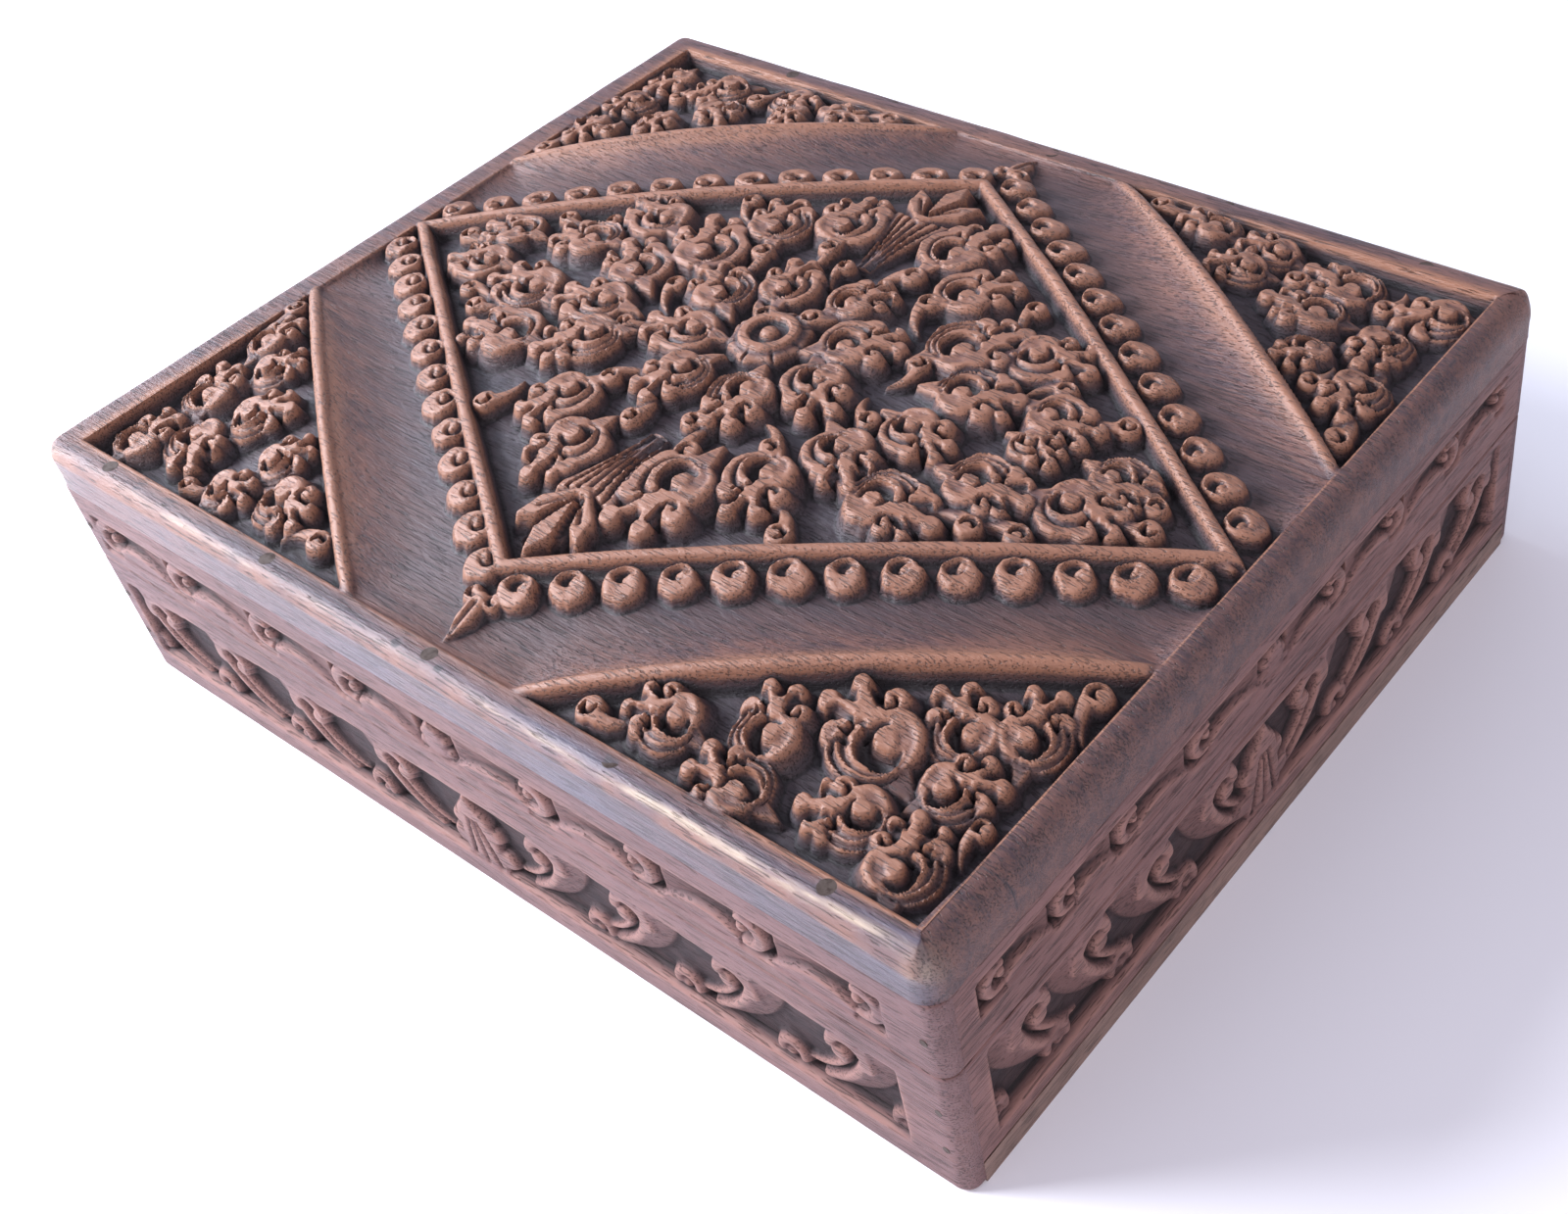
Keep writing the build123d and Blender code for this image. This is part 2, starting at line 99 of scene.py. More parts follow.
# First pearl of each row by the sides that it stands on, and the last pearl of them all
PEARL_ROWS = {(-1, -1): (3.8, 77.3), (-1, 1): (4.5, 78.5), (1, -1): (7.0, 79.0), (1, 1): (7.0, 79.0)}
PEARL_END = (112.0, 9.0)
LATTICE = 128


# Noise and small helpers


def lattice(u, v, seed):
    """Smooth random values from 0 to 1 with one lattice point each unit."""
    table = np.random.default_rng(seed).random((LATTICE, LATTICE))
    i, j = np.floor(u).astype(int), np.floor(v).astype(int)
    f, g = u - i, v - j
    f, g = f * f * (3 - 2 * f), g * g * (3 - 2 * g)
    i, j, k, m = i % LATTICE, j % LATTICE, (i + 1) % LATTICE, (j + 1) % LATTICE
    low = table[i, j] * (1 - f) + table[k, j] * f
    high = table[i, m] * (1 - f) + table[k, m] * f
    return low * (1 - g) + high * g


def noise(x, y, size, seed, octaves=2):
    """Layered smooth noise from about -1 to 1; size is the width of its largest lumps."""
    total, weight = 0.0, 0.0
    for octave in range(octaves):
        scale = 2**octave / size
        share = 0.55**octave
        total = total + share * (2 * lattice(x * scale, y * scale, seed + octave) - 1)
        weight += share
    return total / weight


def smooth(value, low, high):
    """0 below low, 1 above high, and a smooth step between them."""
    t = unit((value - low) / (high - low))
    return t * t * (3 - 2 * t)


def blur(field, cells):
    """The field softened by a bell of that many cells."""
    reach = max(1, int(3 * cells))
    offsets = np.arange(-reach, reach + 1)
    bell = np.exp(-0.5 * (offsets / cells) ** 2)
    bell /= bell.sum()
    for axis in (0, 1):
        padded = np.pad(field, [(reach, reach) if a == axis else (0, 0) for a in (0, 1)], mode="edge")
        total = np.zeros_like(field)
        for number, share in enumerate(bell):
            span = slice(number, number + field.shape[axis])
            total += share * (padded[span] if axis == 0 else padded[:, span])
        field = total
    return field


def unit(value):
    """The value kept from 0 to 1."""
    return np.clip(value, 0, 1)


def least(*distances):
    """Distance outside shapes that are joined: the least of theirs."""
    return functools.reduce(np.minimum, distances)


def polar(length, degrees):
    """The point at a length and an angle from the origin."""
    return length * math.cos(math.radians(degrees)), length * math.sin(math.radians(degrees))


def within_frame(x, y, x_span, y_span):
    """Distance inside a rectangle, negative outside it."""
    return least(x - x_span[0], x_span[1] - x, y - y_span[0], y_span[1] - y)


def crown(x, y):
    """The crowned surface of the lid above its border."""
    return CROWN_HEIGHT - CROWN_FALL[0] * x**2 - CROWN_FALL[1] * y**2


# A carved surface, and the tools that carve it


def edge_profile(d, rounding, slope=SIDE_SLOPE):
    """Height against the crest at a distance outside an outline: a rounded arris, then a steep side."""
    inside = np.clip(d + rounding, 0, rounding)
    arris = rounding - np.sqrt(np.maximum(rounding**2 - inside**2, 0))
    return -arris * ARRIS_SHARE - slope * np.maximum(d, 0)


def groove(gap, half_width, depth):
    """Depth of a rounded groove at a distance from its line."""
    return depth * unit(1 - (gap / np.maximum(half_width, 1e-3)) ** 2) ** 0.7


def ridge(crest, gap, half_width, fall, slope):
    """Height of a rounded ridge at a distance from its line."""
    return crest - fall * (gap / half_width) ** 2 - slope * np.maximum(gap - half_width, 0)


class Relief:
    """A grid of heights: z is the carved surface, and top the level that it stands up to."""

    def __init__(self, x, y, top, ground):
        self.x, self.y, self.top, self.z = x, y, top, ground.copy()
        self.step = x[1, 0] - x[0, 0]


class Patch:
    """Cells of a relief round a point, with their places u along and v across a heading, in millimetres."""

    def __init__(self, relief, x, y, reach, heading=0.0, flip=1):
        i = (x - relief.x[0, 0]) / relief.step
        j = (y - relief.y[0, 0]) / relief.step
        n = reach / relief.step
        rows = slice(max(0, int(i - n)), max(0, int(i + n) + 1))
        cols = slice(max(0, int(j - n)), max(0, int(j + n) + 1))
        dx, dy = relief.x[rows, cols] - x, relief.y[rows, cols] - y
        turn = math.radians(heading)
        self.u = dx * math.cos(turn) + dy * math.sin(turn)
        self.v = flip * (dy * math.cos(turn) - dx * math.sin(turn))
        self.area = rows, cols
        self.top = relief.top[self.area]
        self.relief = relief

    def share(self, length, wobble=0.0):
        """Places become shares of a length, bent by a wobble."""
        self.u, self.v = self.u / length + wobble, self.v / length - wobble

    def noise(self, size, seed):
        return noise(self.u, self.v, size, seed)

    def polar(self):
        """Distance from the point, and the angle from the heading in degrees."""
        return np.hypot(self.u, self.v), np.degrees(np.arctan2(self.v, self.u))

    def disc(self, cu, cv, radius):
        """Distance outside a disc."""
        return np.hypot(self.u - cu, self.v - cv) - radius

    def taper(self, a, b, wide_a, wide_b):
        """Distance outside a straight bar that goes from half width wide_a at a to wide_b at b."""
        du, dv = b[0] - a[0], b[1] - a[1]
        t = unit(((self.u - a[0]) * du + (self.v - a[1]) * dv) / (du * du + dv * dv))
        gap = np.hypot(self.u - a[0] - t * du, self.v - a[1] - t * dv)
        return gap - (wide_a + (wide_b - wide_a) * t)

    def bow(self, cu, cv, radius, start, end):
        """(distance from an arc's line, place along it from 0 to 1). The end is the greater angle."""
        angle = np.degrees(np.arctan2(self.v - cv, self.u - cu))
        middle, half = (start + end) / 2, (end - start) / 2
        off = (angle - middle + 180) % 360 - 180
        t = np.clip(off / half, -1, 1)
        near = np.radians(middle + t * half)
        gap = np.hypot(self.u - cu - radius * np.cos(near), self.v - cv - radius * np.sin(near))
        return gap, (t + 1) / 2

    def raise_to(self, height):
        """Wood left standing up to the given height."""
        self.relief.z[self.area] = np.maximum(self.relief.z[self.area], height)

    def stand(self, level, d, rounding, slope=SIDE_SLOPE, within=None):
        """Wood left standing up to a level inside an outline, with its sides as far out as within."""
        height = level + edge_profile(d, rounding, slope)
        self.raise_to(height if within is None else np.where(d < within, height, FAR_BELOW))

    def cut(self, depth):
        """Wood taken away."""
        self.relief.z[self.area] -= np.maximum(depth, 0)

    def groove(self, gap, half_width, depth):
        """Wood taken away along a line."""
        self.cut(groove(gap, half_width, depth))


# Carved motifs. A leaf's lengths are shares of its own length, with the eye of its curl at the origin.

# Half width of a leaf round its eye, as a share of its length, by the angle from its heading in degrees
LEAF_ANGLES = (-180, -150, -90, -30, 15, 45, 100, 150, 180)
LEAF_WIDTHS = (0.28, 0.32, 0.375, 0.36, 0.40, 0.465, 0.425, 0.34, 0.28)
# Knobs in front of a leaf by how many lobes it has: place along, place across, radius
LEAF_KNOBS = {
    3: ((0.56, 0.150, 0.104), (0.54, -0.140, 0.098)),
    4: ((0.47, 0.240, 0.088), (0.61, 0.02, 0.100), (0.46, -0.225, 0.086)),
}


def leaf_width(turn):
    """Half width of a leaf at an angle from its heading."""
    return np.interp(turn, LEAF_ANGLES, LEAF_WIDTHS)


def comma_cut(p, mm, mouth, foot, turn, size, depth):
    """A notch from the outline inwards that ends in a drilled hook, turned to one side."""
    line = p.taper(mouth, foot, 0.030, 0.012)
    p.groove(np.maximum(line, 0) * mm, 0.55, depth)
    heading = math.degrees(math.atan2(mouth[1] - foot[1], mouth[0] - foot[0]))
    du, dv = polar(size, heading + 90 * turn)
    first = heading - 90 * turn
    start, end = (first, first + 215) if turn < 0 else (first - 215, first)
    gap, t = p.bow(foot[0] + du, foot[1] + dv, size, start, end)
    wide = 0.60 * np.sin(np.pi * np.clip(t, 0.02, 0.98)) ** 0.6
    p.groove(gap * mm, wide, 0.9 * depth)


def rib_cut(p, mm, share, first, last, hook, depth):
    """A line that sweeps down a flank at a share of its width and hooks round the tip of its rib."""
    radius, turn = p.polar()
    t = unit((turn - first) / (last - first))
    gap = np.abs(radius - share * leaf_width(turn)) + 9.0 * ((turn < first) | (turn > last))
    p.groove(gap * mm, 0.85 - 0.45 * t, depth * (1 - 0.5 * t))
    start = share * leaf_width(first) - hook
    gap, t = p.bow(*polar(start, first), hook, first - 195, first)
    p.groove(gap * mm, 0.42 + 0.25 * np.sin(np.pi * t), depth)


def leaf_mass(p, rng, lobes):
    """Distance outside a leaf's outline, with its two shoulders, its root and its knobs."""
    radius, turn = p.polar()
    left, right = rng.uniform(0.115, 0.140), rng.uniform(0.115, 0.145)
    mass = least(radius - leaf_width(turn), p.disc(0.24, 0.0, 0.20), p.disc(0.30, 0.27, left),
                 p.disc(0.27, -0.27, right), p.taper((-0.12, 0.0), (-0.48, 0.05), 0.20, 0.04))
    for ku, kv, size in LEAF_KNOBS[lobes]:
        ku += rng.uniform(-0.04, 0.04)
        kv += rng.uniform(-0.03, 0.03)
        size *= rng.uniform(0.88, 1.15)
        mass = least(mass, p.taper((0.33, 0.35 * kv), (ku, kv), 0.085, 0.058), p.disc(ku, kv, size))
    return mass


def leaf(relief, x, y, heading, length, flip, lobes, seed, drop, eye):
    """A scroll leaf: a flat mass with a ball in its eye, knobs in front and ribs down one flank."""
    rng = np.random.default_rng(seed)
    p = Patch(relief, x, y, length, heading, flip)
    mm = length
    ragged = 0.17 * p.noise(1.2, seed + 14)
    top = p.top - drop + 0.16 * p.noise(5.0, seed + 12)
    p.share(length, 0.018 * p.noise(4.5, seed + 11))
    radius, turn = p.polar()
    # The top falls to the root, and on the flank in steps from rib to rib
    top = top - 3.4 * unit(-p.u - 0.10) ** 1.1 - 1.6 * unit(p.u - 0.40)
    flank = smooth(turn, 10, 70) + smooth(-turn, 150, 175)
    share = radius / leaf_width(turn)
    ribbed = eye > 0.75
    crest = top - flank * (0.55 * smooth(share, 0.62, 0.72) + 0.95 * ribbed * smooth(share, 0.80, 0.88))
    mass = leaf_mass(p, rng, lobes)
    arm = smooth(-turn, 15, 60) * (1 - smooth(-turn, 160, 179))
    p.stand(crest, (mass + 0.018 + 0.02 * arm) * mm + ragged, 0.5 + 1.0 * arm, 2.5 - 0.9 * arm)

    # Hooked lines: two down the flank, and one on each side of the plateau in front
    rib_cut(p, mm, 0.67, rng.uniform(26, 36), 178, rng.uniform(0.058, 0.070), 1.35)
    if ribbed or seed % 3 == 0:
        rib_cut(p, mm, 0.85, rng.uniform(50, 60), 172, rng.uniform(0.050, 0.062), 1.15)
    comma_cut(p, mm, (0.44, -0.165), (0.30, -0.125), -1, rng.uniform(0.058, 0.072), 1.9)
    comma_cut(p, mm, (0.47, 0.175), (0.34, 0.110), 1, rng.uniform(0.050, 0.062), 1.7)

    # Hollow round the eye, deep beside the ball and a fine line in front of it
    gap, t = p.bow(0.0, 0.0, 0.185 * eye, -45, 205)
    swell = np.sin(np.pi * unit(t) ** 1.35) ** 0.9
    wide = (0.022 + 0.072 * swell * eye**0.5) * mm * (t > 0)
    p.groove(gap * mm, np.maximum(wide, 0.01), 0.9 + 2.7 * swell)
    # Ball in which the arm ends
    ball = p.disc(-0.005, -0.020, 0.108 * eye) * mm + 0.9 * ragged
    dome = top + 0.05 + edge_profile(ball, 0.10 * mm * eye, 2.4)
    p.raise_to(np.where((ball < 0.7) & (turn > -60), dome, FAR_BELOW))
    beside = smooth(radius, 0.10 * eye, 0.16 * eye) * (1 - smooth(radius, 0.20, 0.26))
    p.cut(0.5 * smooth(-turn, 60, 110) * beside * (mass < 0))


def sprout(relief, x, y, heading, length, flip, seed):
    """A small comma-shaped leaf with one curled tip and a bent tail."""
    p = Patch(relief, x, y, 1.5 * length, heading, flip)
    ragged = 0.12 * p.noise(1.3, seed + 14)
    p.share(length)
    top = p.top - 0.8 - 1.8 * np.clip(-p.u, 0, 1.2)
    gap, t = p.bow(-0.05, -0.95, 1.05, 78, 150)
    body = least(gap - 0.20 * (1 - t) ** 0.6, p.disc(0.22, 0.0, 0.34))
    p.stand(top, body * length + ragged, 0.8, 3.4)
    gap, t = p.bow(0.24, -0.02, 0.16, -20, 230)
    p.groove(gap * length, np.maximum(0.75 * np.sin(np.pi * t) ** 0.7, 0.01), 2.2)
    p.stand(top - 0.2, p.disc(0.24, -0.04, 0.10) * length, 0.8, 2.5, within=0.8)


def pearl(relief, x, y, heading, flip, seed):
    """A tall snail curl of the row outside the diamond. The heading points to the ridge."""
    rng = np.random.default_rng(seed)
    radius = PEARL_RADIUS * rng.uniform(0.92, 1.06)
    p = Patch(relief, x, y, 2.3 * radius, heading + rng.uniform(-24, 24), flip)
    wobble = 0.38 * p.noise(3.5, seed + 3) + 0.20 * p.noise(1.2, seed + 5)
    top = p.top + 0.15 - 0.16 * np.clip(-p.u, 0, 9) + 0.20 * p.noise(2.4, seed + 6)
    side = 0.55 * noise(p.u * 0.5 + p.v, p.v - p.u, 1.0, seed + 4)
    body = least(p.disc(-0.1, 0.0, 0.97 * radius), p.disc(-0.9, 0.6, 0.90 * radius)) + wobble
    p.raise_to(top + edge_profile(body, 1.0, 2.7) + side * (body > 0))
    hole = np.hypot((p.u - 1.15) / 0.85, p.v + 0.1) - 2.45 + 0.6 * wobble
    p.cut(1.9 * smooth(-hole, -0.10, 0.9))
    gap, t = p.bow(-0.1, 0.15, 1.75, 45, 200)
    p.stand(top - 0.1 - 0.7 * t, gap - 0.75 * (1 - 0.45 * t), 0.6, 2.0, within=0.9)
    ball = p.disc(0.55, 0.75, 1.0 + rng.uniform(-0.15, 0.2))
    p.stand(top - 0.45, ball, 1.0, 2.2, within=0.9)


def rosette(relief):
    """Rosette in the middle: a ball in a trough, and a raised ring of petals."""
    p = Patch(relief, 0.3, 1.8, 13)
    r = np.hypot(p.u, p.v)
    angle = np.arctan2(p.v, p.u)
    p.stand(p.top - 1.4, r - 9.0 - 0.35 * np.cos(8 * angle), 1.6)
    p.stand(p.top + 0.1, np.abs(r - 5.5) - 1.15, 1.0, 1.8)
    trough = p.top - 2.0 + 0.175 * (r - 3) ** 2
    p.cut(np.where(r < 4.35, relief.z[p.area] - trough, 0))
    p.stand(p.top - 0.1, r - 2.1, 1.6, within=0.9)
    line = np.abs(np.sin(4 * angle)) * r / 4
    p.cut(np.where((r > 6.6) & (r < 9.5), groove(line, 0.38, 0.7), 0))


def palmette(relief, x, y, side):
    """Three pointed blades at a tip of the diamond, and behind them a trumpet of ribs."""
    p = Patch(relief, x, y, 32, 90 * side)
    top = p.top - 0.15
    ragged = 0.16 * p.noise(1.6, 97)
    across = np.abs(p.v)
    # Trumpet
    half = 2.3 + 5.2 * unit((p.u + 21) / 20) ** 1.8
    mass = np.maximum(np.maximum(across - half, p.u + 1.0 - 0.30 * across), -21 - p.u)
    fall = 0.35 + 1.8 * unit(-p.u / 21) ** 1.3
    p.stand(top - fall - 0.9 * unit(across / half) ** 2, mass + ragged, 0.5, 2.6)
    for share, deep in ((0.0, 0.9), (0.34, 1.3), (0.68, 1.6)):
        line = np.abs(across - share * half) + np.where(mass > -0.2, 9, 0)
        p.groove(line, 0.55, deep)
    # Blades, parted by wedges, the outer ones with a fine vein
    for turn, reach, wide in ((38, 13.5, 2.8), (-38, 13.5, 2.8), (0, 17.0, 3.3)):
        tip = polar(reach, turn)
        middle = (0.60 * tip[0], 0.60 * tip[1])
        blade = least(p.taper((-0.5, 0), middle, 0.9, wide), p.taper(middle, tip, wide, 0.4))
        p.stand(top, blade + ragged, 0.6, 2.4)
    for turn in (19, -19):
        line = p.taper(polar(2.0, turn), polar(13, turn), 0.1, 1.0)
        p.groove(np.maximum(line, 0), 0.7, 2.8)
    for turn in (38, -38):
        p.groove(p.taper(polar(2.0, turn), polar(9, turn), 0.0, 0.0), 0.5, 0.9)


def tip_bud(relief, x, y, heading, length):
    """A pointed bud with two curls at its root, outside a tip of the diamond."""
    p = Patch(relief, x, y, 13, heading)
    top = p.top - 0.3
    ragged = 0.25 * p.noise(1.6, 95)
    middle = (-2.0, 0.0)
    body = least(p.taper((2.0, 0.4), middle, 2.0, 2.3), p.taper(middle, (1.0 - length, 0), 2.3, 0.5))
    p.stand(top + 0.12 * np.minimum(p.u, 0), body + ragged, 1.5, 2.2)
    line = p.taper((1.0, 0.2), (-0.7 * length, 0.2), 0.1, 0.1)
    p.groove(np.maximum(line, 0), 0.5, 0.9)
    for cu, cv, r in ((2.6, 2.7, 2.0), (2.8, -2.6, 1.9)):
        p.stand(top, p.disc(cu, cv, r) + ragged, 1.2, 2.4)
        gap, t = p.bow(cu + 0.2, cv, 0.95, 30, 260)
        p.groove(gap, 0.6, 1.5 * np.sin(np.pi * t) ** 0.5)


# The carved top of the lid

# Each leaf: x, y of the eye, heading, length, 1 or -1 for the side of its flow lines, and its lobes
DIAMOND_LEAVES = [
    (14.5, 46.5, 80, 20, 1, 4), (27, 34.5, 62, 18, 1, 3), (38.5, 18.5, 52, 21, 1, 4),
    (52.5, 26, 25, 18, -1, 3), (17.5, 6.5, 40, 18, 1, 3), (47.5, 7.5, 20, 18, 1, 4),
    (8.5, 19, 65, 15, 1, 3), (66, 12, -5, 16, 1, 3), (86, 4.5, -5, 15, 1, 4),
    (67, 3.5, -10, 11, -1, 3), (19.5, -4.5, -50, 17, -1, 3), (9, -15, -80, 17, -1, 3),
    (45, -6, -15, 16, -1, 3), (37, -18, -40, 17, -1, 4), (52, -26, 2, 19, 1, 4),
    (29, -31.5, -72, 18, -1, 3), (16, -42, -97, 22, -1, 3), (64.5, -12, 4, 18, 1, 4),
    (83, -6, 5, 18, -1, 3), (-14, 43, 107, 20, -1, 4), (-28, 35, 118, 18, -1, 3),
    (-35, 19, 128, 21, -1, 4), (-55, 26, 160, 18, 1, 4), (-20, 8, 140, 17, -1, 3),
    (-44.5, 6.5, 145, 18, -1, 4), (-8, 16, 108, 16, -1, 3), (-64.5, 11.5, 190, 17, -1, 3),
    (-86, 7, 185, 15, -1, 4), (-42, -6, 190, 18, 1, 3), (-35, -16.5, 225, 18, 1, 4),
    (-53, -25, 183, 19, -1, 4), (-15.5, -5, 195, 17, 1, 3), (-8, -16, 250, 16, 1, 3),
    (-25, -33, 250, 17, 1, 3), (-13, -43, 260, 18, 1, 4), (-62, -9, 170, 19, 1, 3),
    (-83, -5, 190, 16, 1, 4),
]
CORNER_LEAVES = [
    (-108, -52, 92, 15, 1, 3), (-98, -59, 52, 14, -1, 3), (-105, -71, 112, 17, 1, 3),
    (-88.5, -71.5, 42, 17, -1, 3), (-69, -79, 58, 14, -1, 3), (-107, -89, 88, 17, 1, 3),
    (-95.5, -81, -38, 18, -1, 4), (-75, -89.5, 15, 14, -1, 3), (-58, -85.5, -12, 17, -1, 3),
    (110, -56, 105, 17, -1, 3), (101.5, -61, 141, 17, 1, 3), (90.5, -70.5, 156, 23, 1, 3),
    (72.5, -80, 116, 17, 1, 3), (104.5, -72, 52, 16, -1, 3), (56, -86, 180, 16, 1, 3),
    (96, -83, 200, 17, 1, 4), (75, -91, 172, 17, -1, 3), (108, -89, 108, 18, -1, 4),
    (113, 86, 210, 17, 1, 3), (92, 84, 170, 19, -1, 4), (72, 88, 180, 15, 1, 3),
    (56, 88, 170, 15, -1, 3), (70, 78, 200, 15, 1, 3), (91, 72, 190, 18, -1, 4),
    (106, 72, 270, 16, 1, 4), (96, 60, 250, 14, -1, 3), (110, 55, 265, 17, 1, 3),
    (-110, 85, 270, 16, -1, 3), (-92, 87, 230, 17, 1, 4), (-72, 89, -30, 16, -1, 4),
    (-56, 88, -20, 15, 1, 3), (-66, 81, -60, 13, -1, 3), (-86, 76, -50, 16, 1, 4),
    (-96, 64, -60, 15, -1, 3), (-110, 70, 250, 15, 1, 3), (-112, 55, -70, 16, -1, 3),
]
# Small leaves: x, y, heading, length, side
DIAMOND_SPROUTS = [
    (5.5, 12, 215, 8, 1), (22, 27, 95, 8, 1), (34, 9, 95, 7, -1), (42, 38, 90, 7, 1),
    (11, 34, 40, 8, 1), (78, 18, 20, 8, -1), (95, 3, 0, 7, 1), (78, -18, 0, 8, 1),
    (41, -41, -60, 8, 1), (10, -33, -70, 8, -1), (24, -24, -60, 7, 1), (35, -8, -30, 7, -1),
    (69, -21, -10, 8, 1), (97, -3, 0, 8, -1), (5, -26, -80, 7, 1), (-32, 5, 100, 7, 1),
    (-23, 24, 110, 8, -1), (-42, 41, 110, 7, 1), (-78, 17, 170, 7, 1), (-11, 33, 110, 7, -1),
    (-7, 8, 330, 8, -1), (-77, -15, 190, 7, -1), (-40, -42, 240, 8, 1), (-31, -9, 200, 6, 1),
    (-20, -24, 240, 7, -1), (-7, -31, 260, 7, 1), (-97, 2, 180, 8, 1), (-3, 29, 85, 6, 1),
    (-66, 20, 150, 6, 1), (62, 20, 20, 7, 1), (-70, -19, 200, 7, 1),
]
CORNER_SPROUTS = [
    (-42, -90, 0, 8, 1), (-114, -41, 95, 8, -1), (-82, -92, 190, 6, 1), (42, -92, 180, 8, 1),
    (114, -43, 90, 8, 1), (114, -76, 80, 6, 1), (41, 91, 180, 8, 1), (114, 41, 270, 8, 1),
    (82, 82, 210, 8, 1), (101, 84, 250, 7, 1), (102, 52, 250, 7, 1), (-114, 42, 270, 8, 1),
    (-43, 91, 0, 8, 1), (-80, 86, 250, 8, 1), (-102, 78, 280, 7, 1), (-104, 55, 280, 7, 1),
]
# Each palmette: x, y and the side it points to. Each bud: x, y, heading and length.
PALMETTES = ((1, -54, -1), (-1, 54, 1))
TIP_BUDS = ((2, -86, 90, 9.0), (1, 87.5, -90, 7.5), (-111.5, 0.5, 0, 5.5), (113, -0.5, 180, 6.0))


def measures(x, y):
    """(distance outside the diamond, beyond the nearest ridge and inside the field, height of the ridge)."""
    ax, ay = np.abs(x), np.abs(y)
    outside = (ax / DIAMOND[0] + ay / DIAMOND[1] - 1) / math.hypot(1 / DIAMOND[0], 1 / DIAMOND[1])
    run = (RIDGE_END[0] - RIDGE_START[0], RIDGE_END[1] - RIDGE_START[1])
    length = math.hypot(*run)
    along = ((ax - RIDGE_START[0]) * run[0] + (ay - RIDGE_START[1]) * run[1]) / length**2
    beyond = ((ax - RIDGE_START[0]) * -run[1] + (ay - RIDGE_START[1]) * run[0]) / length
    crest = RIDGE_RISE * unit(1 - (2 * along - 1) ** 2) ** 0.8
    return outside, beyond, within_frame(x, y, FIELD_X, FIELD_Y), crest


def pearl_spots():
    """(x, y, heading to the ridge, side of the curl) of each pearl."""
    for (side_x, side_y), first in PEARL_ROWS.items():
        heading = math.degrees(math.atan2(-side_y * DIAMOND[0], -side_x * DIAMOND[1]))
        for t in np.arange(PEARLS_IN_ROW) / (PEARLS_IN_ROW - 1):
            x = side_x * (first[0] + (PEARL_END[0] - first[0]) * t)
            y = side_y * (first[1] + (PEARL_END[1] - first[1]) * t)
            yield x, y, heading, side_x * side_y


def band_ground(x, y, outside, beyond, edge, dome, crest):
    """The concave band between the diamond and the outer ridges."""
    start = outside - 9.0
    rest = np.maximum(np.minimum(-beyond - 1.0, edge), 0)
    t = unit(start / np.maximum(start + rest, 0.1))
    near = dome - BAND_DEPTH
    far = -0.5 + (crest - 0.3) * smooth(edge + 4 + beyond, 0, 8)
    return near + (far - near) * t**1.7 + 0.07 * noise(x * 0.12, y, 1.6, 71)


def carve_leaves(relief, leaves, sprouts, seed, size, drop, eye):
    """The leaves of a region, and the small ones between them."""
    for number, (x, y, heading, length, flip, lobes) in enumerate(leaves):
        leaf(relief, x, y, heading, size * length, flip, lobes, seed + number, drop, eye)
    for number, sprout_place in enumerate(sprouts):
        sprout(relief, *sprout_place, seed + 100 + number)


def carve_lid(x, y):
    """Heights of the lid's top above the table, and how deep the carving is there."""
    outside, beyond, edge, crest = measures(x, y)
    dome = crown(x, y)
    inside_diamond = outside < -DIAMOND_RIDGE
    in_corner = beyond > RIDGE_HALF

    # Sunk grounds of the diamond and the corners, left rough by the gouge
    rough = 0.30 * noise(x * 0.6, y, 2.6, 31, 3)
    rise = 0.85 * crest * np.exp(-(np.maximum(beyond, 0) / 20.0) ** 2)
    corner_top = np.maximum(np.maximum(dome, -0.25), rise)
    corner_ground = np.maximum(corner_top - CORNER_SINK, -CORNER_DEPTH) + rough
    band = band_ground(x, y, outside, beyond, edge, dome, crest)
    ground = np.where(inside_diamond, dome - LEAF_DEPTH + rough, np.where(in_corner, corner_ground, band))
    top = np.where(in_corner, corner_top, dome)

    # The regions are cut apart from one another, so that nothing spills over a ridge
    inner, corners, outer = [Relief(x, y, top, ground) for region in range(3)]
    carve_leaves(inner, DIAMOND_LEAVES, DIAMOND_SPROUTS, 100, DIAMOND_LEAF_SIZE, drop=0.0, eye=0.70)
    for palmette_place in PALMETTES:
        palmette(inner, *palmette_place)
    rosette(inner)
    carve_leaves(corners, CORNER_LEAVES, CORNER_SPROUTS, 300, CORNER_LEAF_SIZE, drop=0.15, eye=0.80)
    for number, spot in enumerate(pearl_spots()):
        pearl(outer, *spot, 500 + number)
    for bud in TIP_BUDS:
        tip_bud(outer, *bud)
    z = np.where(inside_diamond, inner.z, np.where(in_corner, corners.z, outer.z))

    # Ridges, and the flat border that closes the field
    wave = 0.25 * noise(x, y, 9.0, 41)
    z = np.maximum(z, ridge(dome + 0.20, np.abs(outside + wave), 1.15, 0.40, 2.6))
    z = np.maximum(z, ridge(crest - 0.05, np.abs(beyond + wave), 1.25, 0.65, 2.2))
    z = np.where(edge < 0, 0.0, z)
    z = np.maximum(z, -FIELD_SLOPE * np.clip(edge, 0, 9))
    z = np.minimum(blur(z, 0.33), TOP_LEVEL - BORDER_TOP)
    return z + BORDER_TOP, np.clip((top - z) / LEAF_DEPTH, 0, 1.3)


# Sunk friezes of the walls. s runs across a face from left to right, z upwards. A motif is drawn in shares
# of its height h and faces the middle of its frieze.

